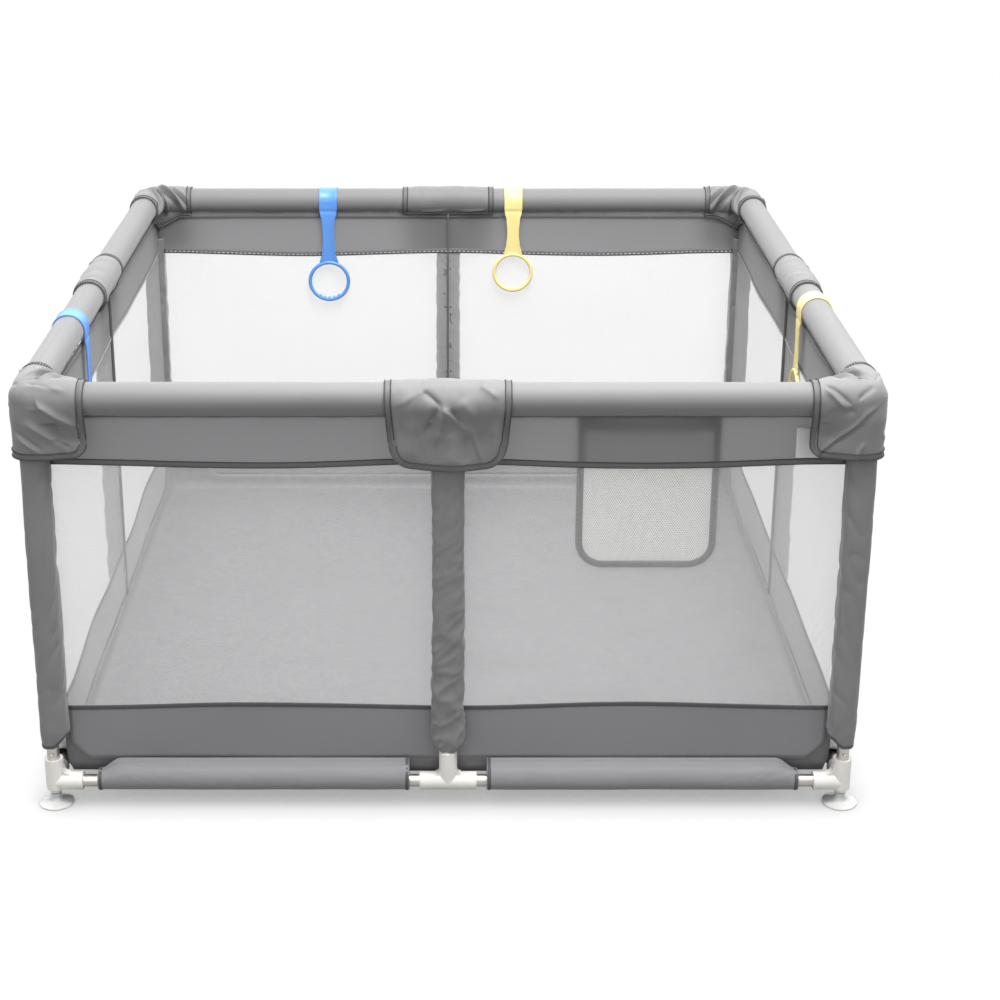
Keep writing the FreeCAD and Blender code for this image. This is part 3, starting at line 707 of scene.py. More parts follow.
def wall(side, seed):
    """Band, mesh and lower band of one side, with their tapes."""
    turn = turn_of(side)
    band = wall_cloth("wall_band", side, 160, 14, band_bottom, lambda x: band_top,
                      lambda z: band_end, seed, 0.004, band_cloth, "grey_fabric", skin=0,
                      gathered=0.0024)
    net = wall_cloth("wall_mesh", side, 90, 30, low_band_top, lambda x: band_bottom(x) + 0.004,
                     lambda z: wall_end, seed, 0.003, wall_mesh, "wall_mesh", skin=0)
    low = wall_cloth("wall_low_band", side, 160, 12, lambda x: seam_z, low_band_top,
                     notch_reach, seed, 0.003, low_band_cloth, "grey_fabric")
    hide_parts("wall_panel_" + side)
    out = Vector((0, -1, 0))
    count = 150

    def line(height, lift=0.0, reach=wall_end):
        xs = [-reach + 2 * reach * i / count for i in range(count + 1)]
        return [Vector((x, wall_y + wall_wave(x, height(x), seed, 0.0035) - lift, height(x)))
                for x in xs]
    hem = tape("band_hem_" + side, line(lambda x: band_bottom(x) + hem_width / 2),
               lambda i: out, hem_width, 0.0028, turn)
    low_hem = tape("low_band_hem_" + side, line(lambda x: low_band_top(x) - 0.003),
                   lambda i: out, 0.0075, 0.0026, turn, finish=dark_tape)
    rows = [stitches("band_hem_stitch_%d_%s" % (row, side),
                     line(lambda x: band_bottom(x) + hem_width * share, lift), lambda p: look,
                     turn, pitch, length, width, thread)
            for row, (share, lift, look, pitch, length, width, thread) in enumerate((
                # The first two rows are near-black thread that paints the seam shade at both edges
                # of the hem tape
                (0.06, 0.0015, out, 0.0042, 0.0040, 0.0010, thread_with_painted_seam_shade),
                (0.94, 0.0015, out, 0.0042, 0.0040, 0.0012, thread_with_painted_seam_shade),
                (0.40, -0.0016, -out, 0.0090, 0.0050, 0.0016, light_thread)))]
    top_tape = tape("band_top_tape_" + side, line(lambda x: band_top - 0.009, -0.0012),
                    lambda i: -out, 0.007, 0.002, turn)
    seam = [Vector((0, wall_y + 0.0024, seam_z + (band_top - seam_z) * i / 40))
            for i in range(41)]
    centre_seam = tape("wall_seam_" + side, seam, lambda i: -out, 0.0036, 0.0048, turn)


for number, side in enumerate(SIDES):
    wall(side, 11.7 + number * 5.1)
print("4 walls")


# %% [markdown]
# ## Post sleeves
# A corner sleeve is a loose square tube of cloth round a thin steel tube, so it creases. The middle
# sleeve is flatter and its bottom is gathered above the tee.

# %% Corner post sleeves
def girth(points, around):
    """Length round the middle ring of a sleeve's grid."""
    start = len(points) // around // 2 * around
    ring = points[start:start + around]
    return sum((a - b).length for a, b in zip(ring, ring[1:] + ring[:1]))


def rounded_square(u, half_x, half_y, power):
    """Point on a rounded square for u from 0 to 1."""
    angle = 2 * math.pi * u
    c, s = math.cos(angle), math.sin(angle)
    return (half_x * math.copysign(abs(c) ** power, c), half_y * math.copysign(abs(s) ** power, s))


def corner_post_sleeve(corner, seed):
    """Loose sleeve of one corner post."""
    around, rows = 64, 120
    middle = (post_low.x + 0.022)
    half = 0.0215
    bottom, top = post_low.z, post_high.z

    def place(u, v):
        dx, dy = rounded_square(u, half, half, 0.62)
        lifted = 0.018 * max(ramp(dx, -0.002, half), ramp(dy, -0.002, half))
        z = bottom + lifted + (top - bottom - lifted) * v
        tuck = 1 - 0.10 * (1 - ramp(z, bottom, bottom + 0.03))
        return (middle + dx * tuck, middle + dy * tuck, z)
    points = grid_points(around, rows, place, wrap=True)
    normals = grid_normals(points, around, rows, wrap=True)

    def depth(p):
        inner = ramp(p.x - middle, -0.005, 0.02) + ramp(p.y - middle, -0.005, 0.02)
        fold = crease(p, (0.25, 0.25, 0.9), 0.09, 0.02, seed)
        slack = noise.noise(Vector((p.x * 25, p.y * 25, p.z * 7 + seed)))
        return 0.0018 * slack - 0.0026 * fold * (0.45 + 0.55 * min(inner, 1))
    points = pushed(points, normals, depth)
    piece = make_piece("corner_sleeve_" + corner, points, grid_faces(around, rows, wrap=True),
                       grey_cloth, "grey_fabric", turn=turn_of(corner))
    thicken(piece, 0.0009)
    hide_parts("corner_post_sleeves")
    rim = [p + n * 0.0004 for p, n in zip(points[around:2 * around], normals[around:])]
    hem = tape("corner_sleeve_hem_" + corner, rim, lambda i: normals[around + i], 0.0045, 0.0018,
               turn_of(corner), closed=True, finish=dark_tape)
    girth(points, around)


for number, corner in enumerate(CORNERS):
    corner_post_sleeve(corner, 2.1 + number * 3.7)


# %% [markdown]
# ### Middle post sleeves
# This sleeve is sewn flat to the wall, so its section is a flattened loop. Its lower end is pulled
# narrower, as cloth is where it is tied above the tee.

# %% Middle post sleeves
def mid_post_sleeve(side, seed):
    """Flat sleeve over one middle post, gathered at its foot."""
    around, rows = 64, 130
    centre_y = (mid_low.y + wall_low.y - 0.0008) / 2
    half_x, half_y = 0.0235, (wall_low.y - 0.0008 - mid_low.y) / 2
    bottom, top = mid_low.z, mid_high.z

    def place(u, v):
        dx, dy = rounded_square(u, half_x, half_y, 0.7)
        z = bottom + (top - bottom) * v
        gather = 1 - 0.5 * (1 - ramp(z, bottom - 0.004, bottom + 0.026)) ** 1.3
        return (dx * gather, centre_y + dy, z + 0.004 * (1 - gather) * abs(dx) / half_x)
    points = grid_points(around, rows, place, wrap=True)
    normals = grid_normals(points, around, rows, wrap=True)

    def depth(p):
        fold = crease(p, (0.7, 0, 0.7), 0.05, 0.018, seed)
        cross = crease(p, (-0.6, 0, 0.8), 0.06, 0.022, seed + 9)
        slack = noise.noise(Vector((p.x * 28, p.y * 20, p.z * 14 + seed)))
        centre = math.exp(-(p.x / 0.0016) ** 2)
        low = 0.6 + 0.8 * (1 - ramp(p.z, 0.1, 0.42))
        return low * (0.0015 * slack + 0.0024 * fold - 0.0012 * cross) - 0.0006 * centre
    points = pushed(points, normals, depth)
    piece = make_piece("mid_sleeve_" + side, points, grid_faces(around, rows, wrap=True),
                       grey_cloth, "grey_fabric", turn=turn_of(side))
    thicken(piece, 0.0009)
    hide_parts("mid_post_sleeves")
    girth(points, around)


for number, side in enumerate(SIDES):
    mid_post_sleeve(side, 1.3 + number * 4.9)
print("8 post sleeves")


# %% [markdown]
# ## Bottom rail sleeves
# The wall's lower hem wraps the bottom tube, so its section is a drop: round below, and drawn up to
# a point where it is sewn to the wall.

# %% Bottom rail sleeves
def low_sleeve(side, sign, seed):
    """Drop-shaped sleeve on half a bottom rail, with a bound cuff at each end."""
    inner, outer = low_cuff_in, low_cuff_out
    section = [(wall_y - 0.0018, seam_z + 0.002), (wall_y - 0.008, seam_z - 0.004),
               (rail_y - 0.004, low_rail_z + 0.0215), (rail_y - 0.0122, low_rail_z + 0.011),
               (rail_y - 0.0142, low_rail_z - 0.001), (rail_y - 0.0095, low_rail_z - 0.0105),
               (rail_y, low_rail_z - 0.0125), (rail_y + 0.0098, low_rail_z - 0.008),
               (wall_y - 0.0022, low_rail_z + 0.008), (wall_y - 0.0012, seam_z - 0.012)]
    around, along = len(section) * 4, 130

    def smooth_section(u):
        at = u * len(section)
        i = int(at)
        t = at - i
        p = [Vector((*section[(i + k) % len(section)], 0)) for k in (-1, 0, 1, 2)]
        return (p[1] * 2 + (p[2] - p[0]) * t + (p[0] * 2 - p[1] * 5 + p[2] * 4 - p[3]) * t * t
                + (p[1] * 3 - p[0] - p[2] * 3 + p[3]) * t ** 3) / 2

    def wrapped(u, x):
        """Point of the section at x; near the corner the drop draws in to a round cuff."""
        q = smooth_section(u)
        drawn = ramp(x, outer - 0.034, outer) * ramp(q.y, low_rail_z + 0.006, seam_z)
        return Vector((sign * x, q.x + (rail_y + 0.002 - q.x) * 0.6 * drawn,
                       q.y + (low_rail_z + 0.0135 - q.y) * 0.85 * drawn))

    def place(u, v):
        return wrapped(u, inner + (outer - inner) * v)
    points = grid_points(around, along, place, wrap=True)
    normals = grid_normals(points, around, along, wrap=True)
    faces = grid_faces(around, along, wrap=True)
    if sign > 0:
        faces = [face[::-1] for face in faces]
        normals = [-n for n in normals]

    def depth(p):
        reach = abs(p.x)
        near_corner = ramp(reach, 0.38, 0.52)
        upper = ramp(p.z, low_rail_z, low_rail_z + 0.02)
        fold = crease(p, (0.9, 0, 0.35 * sign), 0.09, 0.012, seed)
        slack = noise.noise(Vector((p.x * 14, p.y * 40, p.z * 40 + seed)))
        return (0.0008 * slack - 0.0018 * fold * upper * (0.25 + 0.75 * near_corner)) * (
            1 - ramp(p.y, wall_y - 0.012, wall_y - 0.006))
    points = pushed(points, normals, depth)
    label = "%s_%s" % (side, "left" if sign < 0 else "right")
    piece = make_piece("low_sleeve_" + label, points, faces, low_band_cloth, "grey_fabric",
                       turn=turn_of(side))
    thicken(piece, 0.0009)
    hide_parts("bottom_rail_sleeves")
    for end, x in (("in", inner + 0.004), ("out", outer - 0.004)):
        loop = [wrapped(k / 40, x) for k in range(40)]
        centre = Vector((sign * x, rail_y, low_rail_z))
        tape("low_cuff_%s_%s" % (end, label), loop,
                          lambda i, loop=loop, centre=centre: loop[i] - centre, 0.005, 0.0022,
                          turn_of(side), closed=True, finish=dark_tape)
    girth(points, around)


for number, side in enumerate(SIDES):
    for sign in (-1, 1):
        low_sleeve(side, sign, 5.3 + number * 2.7 + sign)
print("8 bottom sleeves")


# %% [markdown]
# ## Fitted covers
# Loose covers hide the connectors on top of the rail. Each wraps the rail and lets a bound skirt
# hang outside, where it presses on the wall and on the post sleeve. A cover is drawn from two
# numbers: d, the place along the rail, and s, the way round it (0 at the rail's outside, less going
# down the skirt, more going over the top).

# %% How a cover wraps its rail
cover_radius = rail_radius + 0.0020
over_top = math.pi * cover_radius
wrap_angle = math.radians(229)
wall_lean = axis_reach + wall_y - 0.0026


def ridge(d, s, fold):
    """Height of one fold: start, end, half width and height (below 0 for a valley), all in mm."""
    (d0, s0), (d1, s1), wide, high = fold
    d, s = d / MM, s / MM
    run_d, run_s = d1 - d0, s1 - s0
    length = math.hypot(run_d, run_s)
    along = ((d - d0) * run_d + (s - s0) * run_s) / length ** 2
    across = ((d - d0) * run_s - (s - s0) * run_d) / length
    if not -0.15 < along < 1.15 or abs(across) > 3 * wide:
        return 0.0
    ends = ramp(along, -0.15, 0.2) * (1 - ramp(along, 0.7, 1.15))
    return high * MM * ends * math.exp(-abs(across / wide) ** 1.5)


def drape(s, rest):
    """Outward place of the skirt below the rail's axis; rest is where it ends up."""
    return rest + (cover_radius - rest) * (1 - ramp(-s, 0.004, 0.056))


def around_rail(s, rest):
    """(outward, height) round the rail's axis, and the cloth's own normal there."""
    if s < 0:
        step = 0.001
        slope = (drape(s, rest) - drape(s - step, rest)) / step
        normal = Vector((1, -slope)).normalized()
        return Vector((drape(s, rest), s)), normal
    angle = min(s / cover_radius, wrap_angle)
    normal = Vector((math.cos(angle), math.sin(angle)))
    spare = max(s / cover_radius - wrap_angle, 0) * cover_radius
    return normal * cover_radius - Vector((0, spare)), normal


def held_edge(s, lift, edge, spot):
    """Fold height after the sewn edge has flattened it and the rail or wall has stopped it."""
    lift = lift * (0.2 + 0.8 * edge) + (0.0016 * ramp(-s, 0.0, 0.03) - 0.0006) * (1 - edge)
    if s < -0.03:
        return max(lift, wall_lean - spot.x + 0.0004)
    return max(lift, -0.0010)


def crown(s, share, sag):
    """Loose cloth stands off the rail in the middle of a cover, most of all on its outer side."""
    middle = max(1 - share * share, 0)
    over = 0.0026 * ramp(s, 0.0, 0.03) * (1 - ramp(s, 0.07, 0.10))
    outside = sag * math.exp(-((s + 0.004) / 0.017) ** 2)
    return middle * (over + outside)


def slack(d, s, seed, size):
    """Soft unevenness of loose cloth."""
    return size * noise.noise(Vector((d * 26, s * 26, seed))) + 0.4 * size * noise.noise(
        Vector((d * 70, s * 50, seed + 4)))


def inset(outline, distance):
    """Closed (d, s) outline moved inwards."""
    count = len(outline)
    moved = []
    for i in range(count):
        a, b = Vector(outline[i - 1]), Vector(outline[(i + 1) % count])
        along = (b - a).normalized()
        moved.append(Vector(outline[i]) + Vector((-along.y, along.x)) * distance)
    return moved


def bound_cover(name, skin, outline, columns, rows, place, turn, replaces):
    """Cover cloth with its binding tape and two rows of stitches."""
    points = [skin(*place(-1 + 2 * c / columns, r / rows))[0]
              for r in range(rows + 1) for c in range(columns + 1)]
    cloth = make_piece(name, points, grid_faces(columns, rows), grey_cloth, "grey_fabric",
                       turn=turn)
    thicken(cloth, 0.0010)
    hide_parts(replaces)

    def follow(distance, lift):
        spots = [skin(*q) for q in inset(outline, distance)]
        return [p + n * lift for p, n in spots], [n for p, n in spots]
    path, looks = follow(0.0046, 0.0002)
    trims = [tape(name + "_binding", path, lambda i: looks[i], 0.0092, 0.0024, turn, closed=True)]
    # Both stitch rows are near-black thread that paints the seam shade at the edges of the binding
    for row, distance in enumerate((0.0004, 0.0094)):
        line, ways = follow(distance, 0.0017)
        trims.append(stitches("%s_stitch_%d" % (name, row), line,
                              lambda p, line=line, ways=ways: ways[line.index(min(
                                  line, key=lambda q: (q - p).length_squared))], turn,
                              width=0.0017))


# %% [markdown]
# ### Middle covers
# Folds of a fitted cover start at the parts under it, here the tee. Simulated cloth would fold
# somewhere else each time, so each fold is a short ridge or valley with a start, an end, a width
# and a height, listed once and mirrored from side to side.

# %% Middle covers
shield_half, shield_foot, shield_round = 0.092, 0.0845, 0.030
skirt_end = 0.563 - rail_z
inner_end = over_top + 0.027
SHIELD_FOLDS = [((-36, 20), (-8, -3), 4, -2.2), ((-8, -2), (30, -42), 4.5, 3.4),
                ((4, -6), (24, -36), 4, -2.6), ((-16, -4), (-32, -44), 4, -2.6),
                ((-8, -10), (-18, -60), 6, 3.0), ((-30, 22), (-78, -4), 6, 1.0),
                ((-38, 16), (-80, -10), 6, -0.5), ((48, 26), (72, 10), 4, 1.2),
                ((34, -34), (50, -92), 4, 2.4), ((70, -30), (66, -90), 7, 1.6),
                ((-52, -24), (-56, -92), 12, 2.4), ((-74, -20), (-70, -88), 6, 1.2),
                ((4, -40), (6, -104), 16, 3.2), ((26, -50), (28, -96), 7, -1.4),
                ((20, 6), (40, -20), 8, 1.4),
                ((-74, 98), (-24, 101), 2.2, 0.9), ((6, 99), (60, 104), 2.4, 0.9)]


def shield_half_width(s):
    """Half width of a middle cover: narrower towards the skirt's foot."""
    share = min(max((s - skirt_end) / -skirt_end, 0), 1)
    return shield_foot + (shield_half - shield_foot) * share


def shield_foot_line(d):
    """Where the skirt ends; its corners are rounded."""
    past = max(abs(d) - (shield_foot - shield_round), 0)
    return (skirt_end + shield_round - math.sqrt(max(shield_round ** 2 - past ** 2, 0))
            + 0.006 * (d / shield_foot) ** 2)


def mid_cover(side, seed, flip):
    """Cover over the tee in the middle of one rail."""
    def skin(d, s):
        over_post = 1 - ramp(abs(d), 0.020, 0.058)
        edge = ramp(shield_half_width(s) - abs(d), 0.0, 0.014)
        rest = wall_lean + (0.0165 - wall_lean) * over_post + 0.004 * edge
        spot, normal = around_rail(s, rest)
        lift = 2.3 * sum(ridge(d * flip, s, fold) for fold in SHIELD_FOLDS)
        lift += slack(d, s, seed, 0.0020) * (1 - 0.7 * ramp(s, 0.05, 0.09))
        lift = held_edge(s, lift + crown(s, d / shield_half, 0.0065), edge, spot)
        spot = spot + normal * lift
        return (Vector((d, rail_y - spot.x, rail_z + spot.y)),
                Vector((0, -normal.x, normal.y)))

    def place(u, v):
        u = math.sin(u * math.pi / 2)
        foot = shield_foot_line(u * shield_foot)
        s = foot + (inner_end - foot) * v
        return u * shield_half_width(s), s
    outline = [(shield_foot * math.sin(math.radians(a)),
                shield_foot_line(shield_foot * math.sin(math.radians(a))))
               for a in range(-90, 91, 4)]
    right = [(shield_half_width(s), s)
             for s in [skirt_end + shield_round + 0.010 + i * 0.004 for i in range(44)]
             if s < inner_end - 0.003]
    top = [(shield_half - i * 2 * shield_half / 36, inner_end) for i in range(37)]
    outline = outline + right + top + [(-d, s) for d, s in right[::-1]]
    bound_cover("mid_cover_cloth_" + side, skin, outline, 140, 140, place, turn_of(side),
                "mid_cover_" + side)


for number, side in enumerate(SIDES):
    mid_cover(side, 8.8 + number * 3.1, 1 if number % 2 == 0 else -1)
print("4 middle covers")


# %% [markdown]
# ### Corner covers
# The cover turns a corner, so the surface bends about the post's axis near d = 0, and the cloth
# inside the corner is gathered.

# %% Corner covers
elbow = 0.087
bend = 0.016
corner_foot = 0.581 - rail_z
corner_round = 0.022
SKIRT_FOLDS_A = [((18, 2), (80, -36), 5, 2.4), ((24, -13), (77, -60), 6.5, -3.4),
                 ((16, -30), (62, -68), 6, 2.0), ((48, -56), (66, -70), 3, -1.4),
                 ((-2, -46), (26, -74), 3, 1.4), ((4, -42), (30, -70), 2.5, -1.0),
                 ((8, 34), (44, 22), 3, -1.2), ((12, 28), (60, 20), 4, 1.2)]
SKIRT_FOLDS_B = [((66, 28), (36, 2), 3, -2.2), ((70, 22), (40, -6), 3.5, 1.8),
                 ((8, -6), (76, -78), 3, 1.6), ((10, -12), (74, -82), 3, -1.8),
                 ((20, -60), (30, -84), 3, 1.0), ((6, 26), (24, 8), 3, -1.4),
                 ((70, -20), (60, -60), 9, -1.6), ((30, -8), (66, -14), 6, -1.4)]
GATHERS = [((1, 62), (24, 110), 3.2, -2.0), ((9, 58), (34, 109), 3.6, 3.6),
           ((19, 56), (66, 102), 5, -2.0), ((25, 44), (74, 98), 3.8, 4.2),
           ((41, 54), (76, 88), 4, -1.8), ((52, 50), (80, 74), 5, 1.8),
           ((4, 44), (12, 66), 4, 1.6)]


def corner_skin(seed, first_folds, second_folds, calm_side):
    """Surface of a corner cover; d runs from the front rail's end to the side rail's end."""
    def skin(d, s):
        reach = abs(d)
        over_post = 1 - ramp(reach, 0.030, 0.064)
        edge = ramp(elbow - reach, 0.0, 0.014)
        rest = wall_lean + (0.0245 - wall_lean) * over_post + 0.004 * edge * (1 - over_post)
        spot, normal = around_rail(s, rest)
        folds = first_folds if d < 0 else second_folds
        lift = 2.3 * sum(ridge(reach, s, fold) for fold in folds + GATHERS)
        lift += slack(d, s, seed, 0.0012)
        lift += crown(s, (reach - 0.045) / 0.042, 0.0018)
        lift *= 0.35 if d * calm_side > 0 and s < 0.02 else 1.0
        lift = held_edge(s, lift, edge, spot)
        lift = min(lift, 0.0006 + 0.02 * max(ramp(abs(s - 0.004), 0.006, 0.04),
                                             ramp(reach, 0.018, 0.042)))
        spot = spot + normal * lift
        plan_round = 0.005 + 0.009 * ramp(s, -0.03, 0.0)
        plan_round = max(plan_round, 0.002 - spot.x)
        if reach >= bend:
            angle = 0.0
            along = plan_round + (elbow - plan_round) * (reach - bend) / (elbow - bend)
        else:
            angle = math.radians(45) * (1 - reach / bend)
            along = plan_round
        x = -axis_reach + along - (plan_round + spot.x) * math.sin(angle)
        y = -axis_reach + plan_round - (plan_round + spot.x) * math.cos(angle)
        look = Vector((-normal.x * math.sin(angle), -normal.x * math.cos(angle), normal.y))
        point = Vector((x, y, rail_z + spot.y))
        if d > 0:
            point.x, point.y = point.y, point.x
            look.x, look.y = look.y, look.x
        return point, look
    return skin


def corner_foot_line(d):
    """Where a corner skirt ends; both ends are rounded."""
    past = max(abs(d) - (elbow - corner_round), 0)
    return corner_foot + corner_round - math.sqrt(max(corner_round ** 2 - past ** 2, 0))


def corner_inner_line(d):
    """Where the cover ends under the rail inside: lower in the corner."""
    return over_top + 0.034 + 0.026 * (1 - ramp(abs(d), 0.0, 0.07))


def corner_cover(corner, seed):
    """Cover over one corner of the rail."""
    calm_side = {"front_left": 1, "front_right": -1}.get(corner, 0)
    skin = corner_skin(seed, SKIRT_FOLDS_A, SKIRT_FOLDS_B, calm_side)

    def place(u, v):
        d = elbow * math.sin(u * math.pi / 2) if abs(u) > 0.999 else elbow * (
            0.5 * u + 0.5 * math.sin(u * math.pi / 2))
        foot = corner_foot_line(d)
        return d, foot + (corner_inner_line(d) - foot) * v
    ends = [elbow * (-1 + i / 40) for i in range(81)]
    foot = [(elbow * math.sin(math.radians(a)), corner_foot_line(elbow * math.sin(
        math.radians(a)))) for a in range(-90, 91, 3)]
    right = [(elbow, corner_foot + corner_round + 0.004 * (i + 1)) for i in range(60)
             if corner_foot + corner_round + 0.004 * (i + 1) < corner_inner_line(elbow) - 0.003]
    top = [(d, corner_inner_line(d)) for d in ends[::-1]]
    outline = foot + right + top + [(-d, s) for d, s in right[::-1]]
    return bound_cover("corner_cover_cloth_" + corner, skin, outline, 170, 140, place,
                       turn_of(corner), "corner_cover_" + corner)


for number, corner in enumerate(CORNERS):
    corner_cover(corner, 4.4 + number * 6.1)
print("4 corner covers")


# %% [markdown]
# ## Floor sheet
# The floor is one cloth that turns up at the walls, where it is sewn to the lower band. It is laid
# out flat, then bent over a small radius at each edge, so that its length over the cloth is true.

# %% Floor sheet
def floor_cloth_piece():
    """Floor with its edges turned up the walls."""
    count = 150
    reach = floor_high.x - 0.001
    rise = seam_z - 0.002 - floor_high.z
    total = reach + rise
    corner_rise = 2.4

    def settle(t):
        """Distance from the middle and height for a distance measured over the cloth."""
        a = abs(t)
        turn_radius = 0.012
        start = reach - turn_radius
        arc = turn_radius * math.pi / 2
        if a <= start:
            return math.copysign(a, t), 0.0
        if a <= start + arc:
            angle = (a - start) / turn_radius
            return (math.copysign(start + turn_radius * math.sin(angle), t),
                    turn_radius * (1 - math.cos(angle)))
        return math.copysign(reach, t), turn_radius + (a - start - arc)

    def place(u, v):
        x, up_x = settle((2 * u - 1) * total)
        y, up_y = settle((2 * v - 1) * total)
        ripple = 0.0006 * noise.noise(Vector((x * 7, y * 7, 3))) + 0.0005 * crease(
            Vector((x, y, 0)), (1, 0.2, 0), 0.2, 0.05, 6)
        flat = 1 - ramp(max(abs(x), abs(y)), reach - 0.03, reach)
        near_corner = ramp(min(abs(x), abs(y)), 0.49, 0.56)
        return x, y, ((floor_low.z + floor_high.z) / 2 + ripple * flat
                      + max(up_x, up_y) * (1 + corner_rise * near_corner))
    points = grid_points(count, count, place)
    floor = make_piece("floor_cloth", points, grid_faces(count, count), floor_cloth,
                       "floor_fabric")
    thicken(floor, 0.0009)
    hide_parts("floor_sheet")


floor_cloth_piece()


# %% [markdown]
# ## Pocket
# A slack mesh pouch hangs inside the front wall in a bound U. Its belly swells away from the wall,
# most in the middle, because its mouth is held by a stiff hem.

# %% Pocket
pocket_low, pocket_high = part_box("pocket")
pocket_round = 0.042
pouch_width = pocket_high.x - pocket_low.x
mouth_width = 0.025
pouch_top = pocket_high.z + 0.009
strap_top = pouch_top + mouth_width
print("pocket", round(pouch_width, 3), "m wide, mouth at", round(pouch_top, 3), "m")


def pocket_outline(distance):
    """U from under the rail down, across and up again, moved inwards."""
    left, right = pocket_low.x + distance, pocket_high.x - distance
    bottom, round_by = pocket_low.z + distance, pocket_round - distance
    top = strap_top
    line = [(left, top - (top - bottom - round_by) * i / 30) for i in range(31)]
    line += [(left + round_by * (1 - math.cos(math.radians(a))),
              bottom + round_by * (1 - math.sin(math.radians(a)))) for a in range(6, 90, 6)]
    line += [(left + round_by + (right - left - 2 * round_by) * i / 24, bottom)
             for i in range(25)]
    line += [(right - round_by * (1 - math.sin(math.radians(a))),
              bottom + round_by * (1 - math.cos(math.radians(a)))) for a in range(6, 90, 6)]
    line += [(right, bottom + round_by + (top - bottom - round_by) * i / 30) for i in range(31)]
    return line


def pocket_pouch():
    """Slack mesh panel, its U binding and its mouth hem."""
    columns, rows = 60, 60
    middle = (pocket_low.x + pocket_high.x) / 2

    def place(u, v):
        z = pocket_low.z + 0.003 + (pouch_top - pocket_low.z) * v
        rise = z - pocket_low.z
        half = pouch_width / 2 - 0.003
        if rise < pocket_round:
            half -= pocket_round - math.sqrt(max(pocket_round ** 2
                                                 - (pocket_round - rise) ** 2, 0))
        x = middle + (2 * u - 1) * half
        belly = math.sin(math.pi * u) ** 0.7 * math.sin(math.pi * min(v * 0.9 + 0.05, 1)) ** 0.7
        wave = noise.noise(Vector((x * 30, z * 22, 5))) * 0.0022
        return x, wall_y + 0.003 + (0.0065 + wave) * belly, z
    points = grid_points(columns, rows, place)
    pouch = make_piece("pocket_mesh_pouch", points, grid_faces(columns, rows), pocket_mesh,
                       "pocket_mesh")
    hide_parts("pocket")
    inward = Vector((0, 1, 0))

    def line(distance, lift):
        return [Vector((x, wall_y + 0.0032 + lift, z)) for x, z in pocket_outline(distance)]
    binding = tape("pocket_binding", line(0.005, 0.0), lambda i: inward, 0.0105, 0.003, None)
    # Near-black stitches paint the seam shade beside the pocket binding
    rows_of_thread = [stitches("pocket_stitch_%d" % row, line(distance, 0.0017),
                               lambda p: inward, None)
                      for row, distance in enumerate((0.002, 0.0085))]
    mouth = [Vector((pocket_low.x + pouch_width * i / 40,
                     wall_y + 0.004 + 0.007 * math.sin(math.pi * i / 40) ** 0.7,
                     pouch_top + mouth_width / 2)) for i in range(41)]
    hem = tape("pocket_mouth_hem", mouth, lambda i: inward, mouth_width, 0.002, None)


pocket_pouch()


# %% [markdown]
# ## Sewn-in tab
# A small woven tab is held by one row of stitches at its top, so its lower end stands off the band.
# It is left blank.

# %% Label
def label():
    """White woven tab sewn to the front band beside the corner cover."""
    low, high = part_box("label_tab")
    columns, rows = 14, 20

    def place(u, v):
        x = low.x + (high.x - low.x) * u
        z = low.z + (high.z - low.z) * v
        return x, low.y + 0.0003 - 0.0012 * (1 - v) ** 2 - 0.0004 * math.sin(6 * u), z
    points = grid_points(columns, rows, place)
    tab = make_piece("label_cloth", points, grid_faces(columns, rows), white_tape,
                     "label_fabric")
    thicken(tab, 0.0005)
    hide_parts("label_tab")
    out = Vector((0, -1, 0))
    edge = [Vector((low.x + 0.002 + (high.x - low.x - 0.004) * i / 10, low.y - 0.0003,
                    high.z - 0.003)) for i in range(11)]
    thread = stitches("label_stitch", edge, lambda p: out, None, pitch=0.0026, length=0.0018,
                      width=0.0007, material=light_thread)


label()


# %% [markdown]
# ## Pull rings
# A child pulls itself up on these. Each is one moulding: a hook over the rail, a strap with a raised
# rim, a narrow neck and a ring with bumps for the fingers.

# %% Pull rings
PULL_RINGS = {
    "pull_ring_blue_back": ("ring_blue_back", "back", 0.245, 0.121, 0.043, blue_plastic),
    "pull_ring_yellow_back": ("ring_yellow_back", "back", -0.133, 0.104, 0.0415,
                              yellow_plastic),
    "pull_ring_blue_left": ("ring_blue_left", "left", 0.264, 0.121, 0.043, blue_plastic),
    "pull_ring_yellow_right": ("ring_yellow_right", "right", -0.165, 0.104, 0.0415,
                               yellow_plastic),
}
strap_section = [(-1, -0.4), (-0.97, 0.7), (-0.9, 0.95), (-0.82, 0.9), (-0.74, 0.45),
                 (0, 0.4), (0.74, 0.45), (0.82, 0.9), (0.9, 0.95), (0.97, 0.7), (1, -0.4),
                 (0.94, -0.55), (0, -0.55), (-0.94, -0.55)]


def strap_half_width(down, drop):
    """Half width of the strap at a distance below the rail's axis."""
    rows = [(-1.0, 0.0185), (0.012, 0.0185), (0.022, 0.0172), (0.034, 0.0140), (0.058, 0.0122),
            (drop - 0.036, 0.0122), (drop - 0.016, 0.0140), (drop - 0.004, 0.0172),
            (drop + 0.004, 0.0200)]
    for (a, wide_a), (b, wide_b) in zip(rows, rows[1:]):
        if down <= b:
            return wide_a + (wide_b - wide_a) * ramp(down, a, b)
    return rows[-1][1]


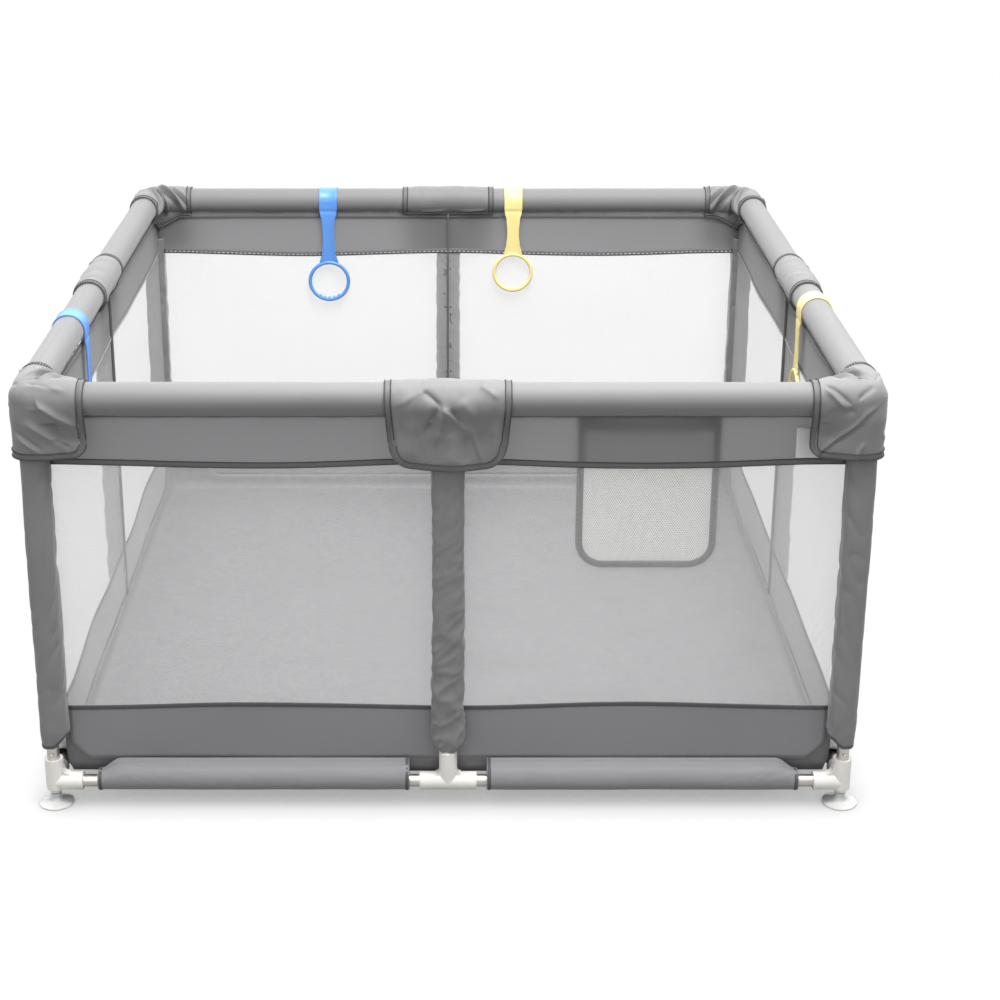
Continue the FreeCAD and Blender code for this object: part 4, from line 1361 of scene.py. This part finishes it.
def pull_ring(name, body, side, centre, drop, radius, finish):
    """Hook, strap and ring as one moulding."""
    hug = rail_radius + 0.0014
    verts, faces = [], []
    path = []
    for step in range(61):
        angle = math.radians(-10 + 190 * step / 60)
        way = Vector((math.cos(angle), math.sin(angle)))
        path.append((way * hug, way, -1.0))
    for step in range(1, 61):
        down = (drop + 0.003) * step / 60
        kink = 0.0012 * math.exp(-((down - 0.017) / 0.003) ** 2)
        path.append((Vector((-hug + kink, -down)), Vector((-1, 0)), down))
    for spot, way, down in path:
        half = strap_half_width(down, drop)
        for a, b in strap_section:
            off = spot + way * (b * 0.0017)
            verts.append((centre + a * half, rail_y - off.x, rail_z + off.y))
    ring = len(strap_section)
    faces += grid_faces(ring, len(path) - 1, wrap=True)
    faces.append(tuple(range(ring))[::-1])
    faces.append(tuple(range(len(verts) - ring, len(verts))))
    base = len(verts)
    around, section = 120, 20
    bar = 0.0036
    middle = Vector((centre, rail_y + hug, rail_z - drop - radius))
    for i in range(around):
        turn = 2 * math.pi * i / around
        out = Vector((math.sin(turn), 0, -math.cos(turn)))
        for k in range(section):
            tilt = 2 * math.pi * k / section
            inner = max(-math.cos(tilt), 0)
            bumps = sum(math.exp(-((math.degrees(turn - math.tau * round(turn / math.tau))
                                    - mark) / 4.6) ** 2) for mark in (-32, -16, 0, 16, 32))
            size = bar + 0.0036 * bumps * inner ** 1.2
            verts.append(middle + out * (radius - bar + size * math.cos(tilt))
                         + Vector((0, 1, 0)) * (bar * 0.95 * math.sin(tilt)))
    for i in range(around):
        j = (i + 1) % around
        for k in range(section):
            m = (k + 1) % section
            faces.append((base + i * section + k, base + i * section + m,
                          base + j * section + m, base + j * section + k))
    piece = make_piece(name + "_moulding", verts, faces, finish,
                       "blue_plastic" if "blue" in name else "yellow_plastic", body=body,
                       turn=turn_of(side))
    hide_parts(name)


for name, (body, side, centre, drop, radius, finish) in PULL_RINGS.items():
    pull_ring(name, body, side, centre, drop, radius, finish)
print("4 pull rings")
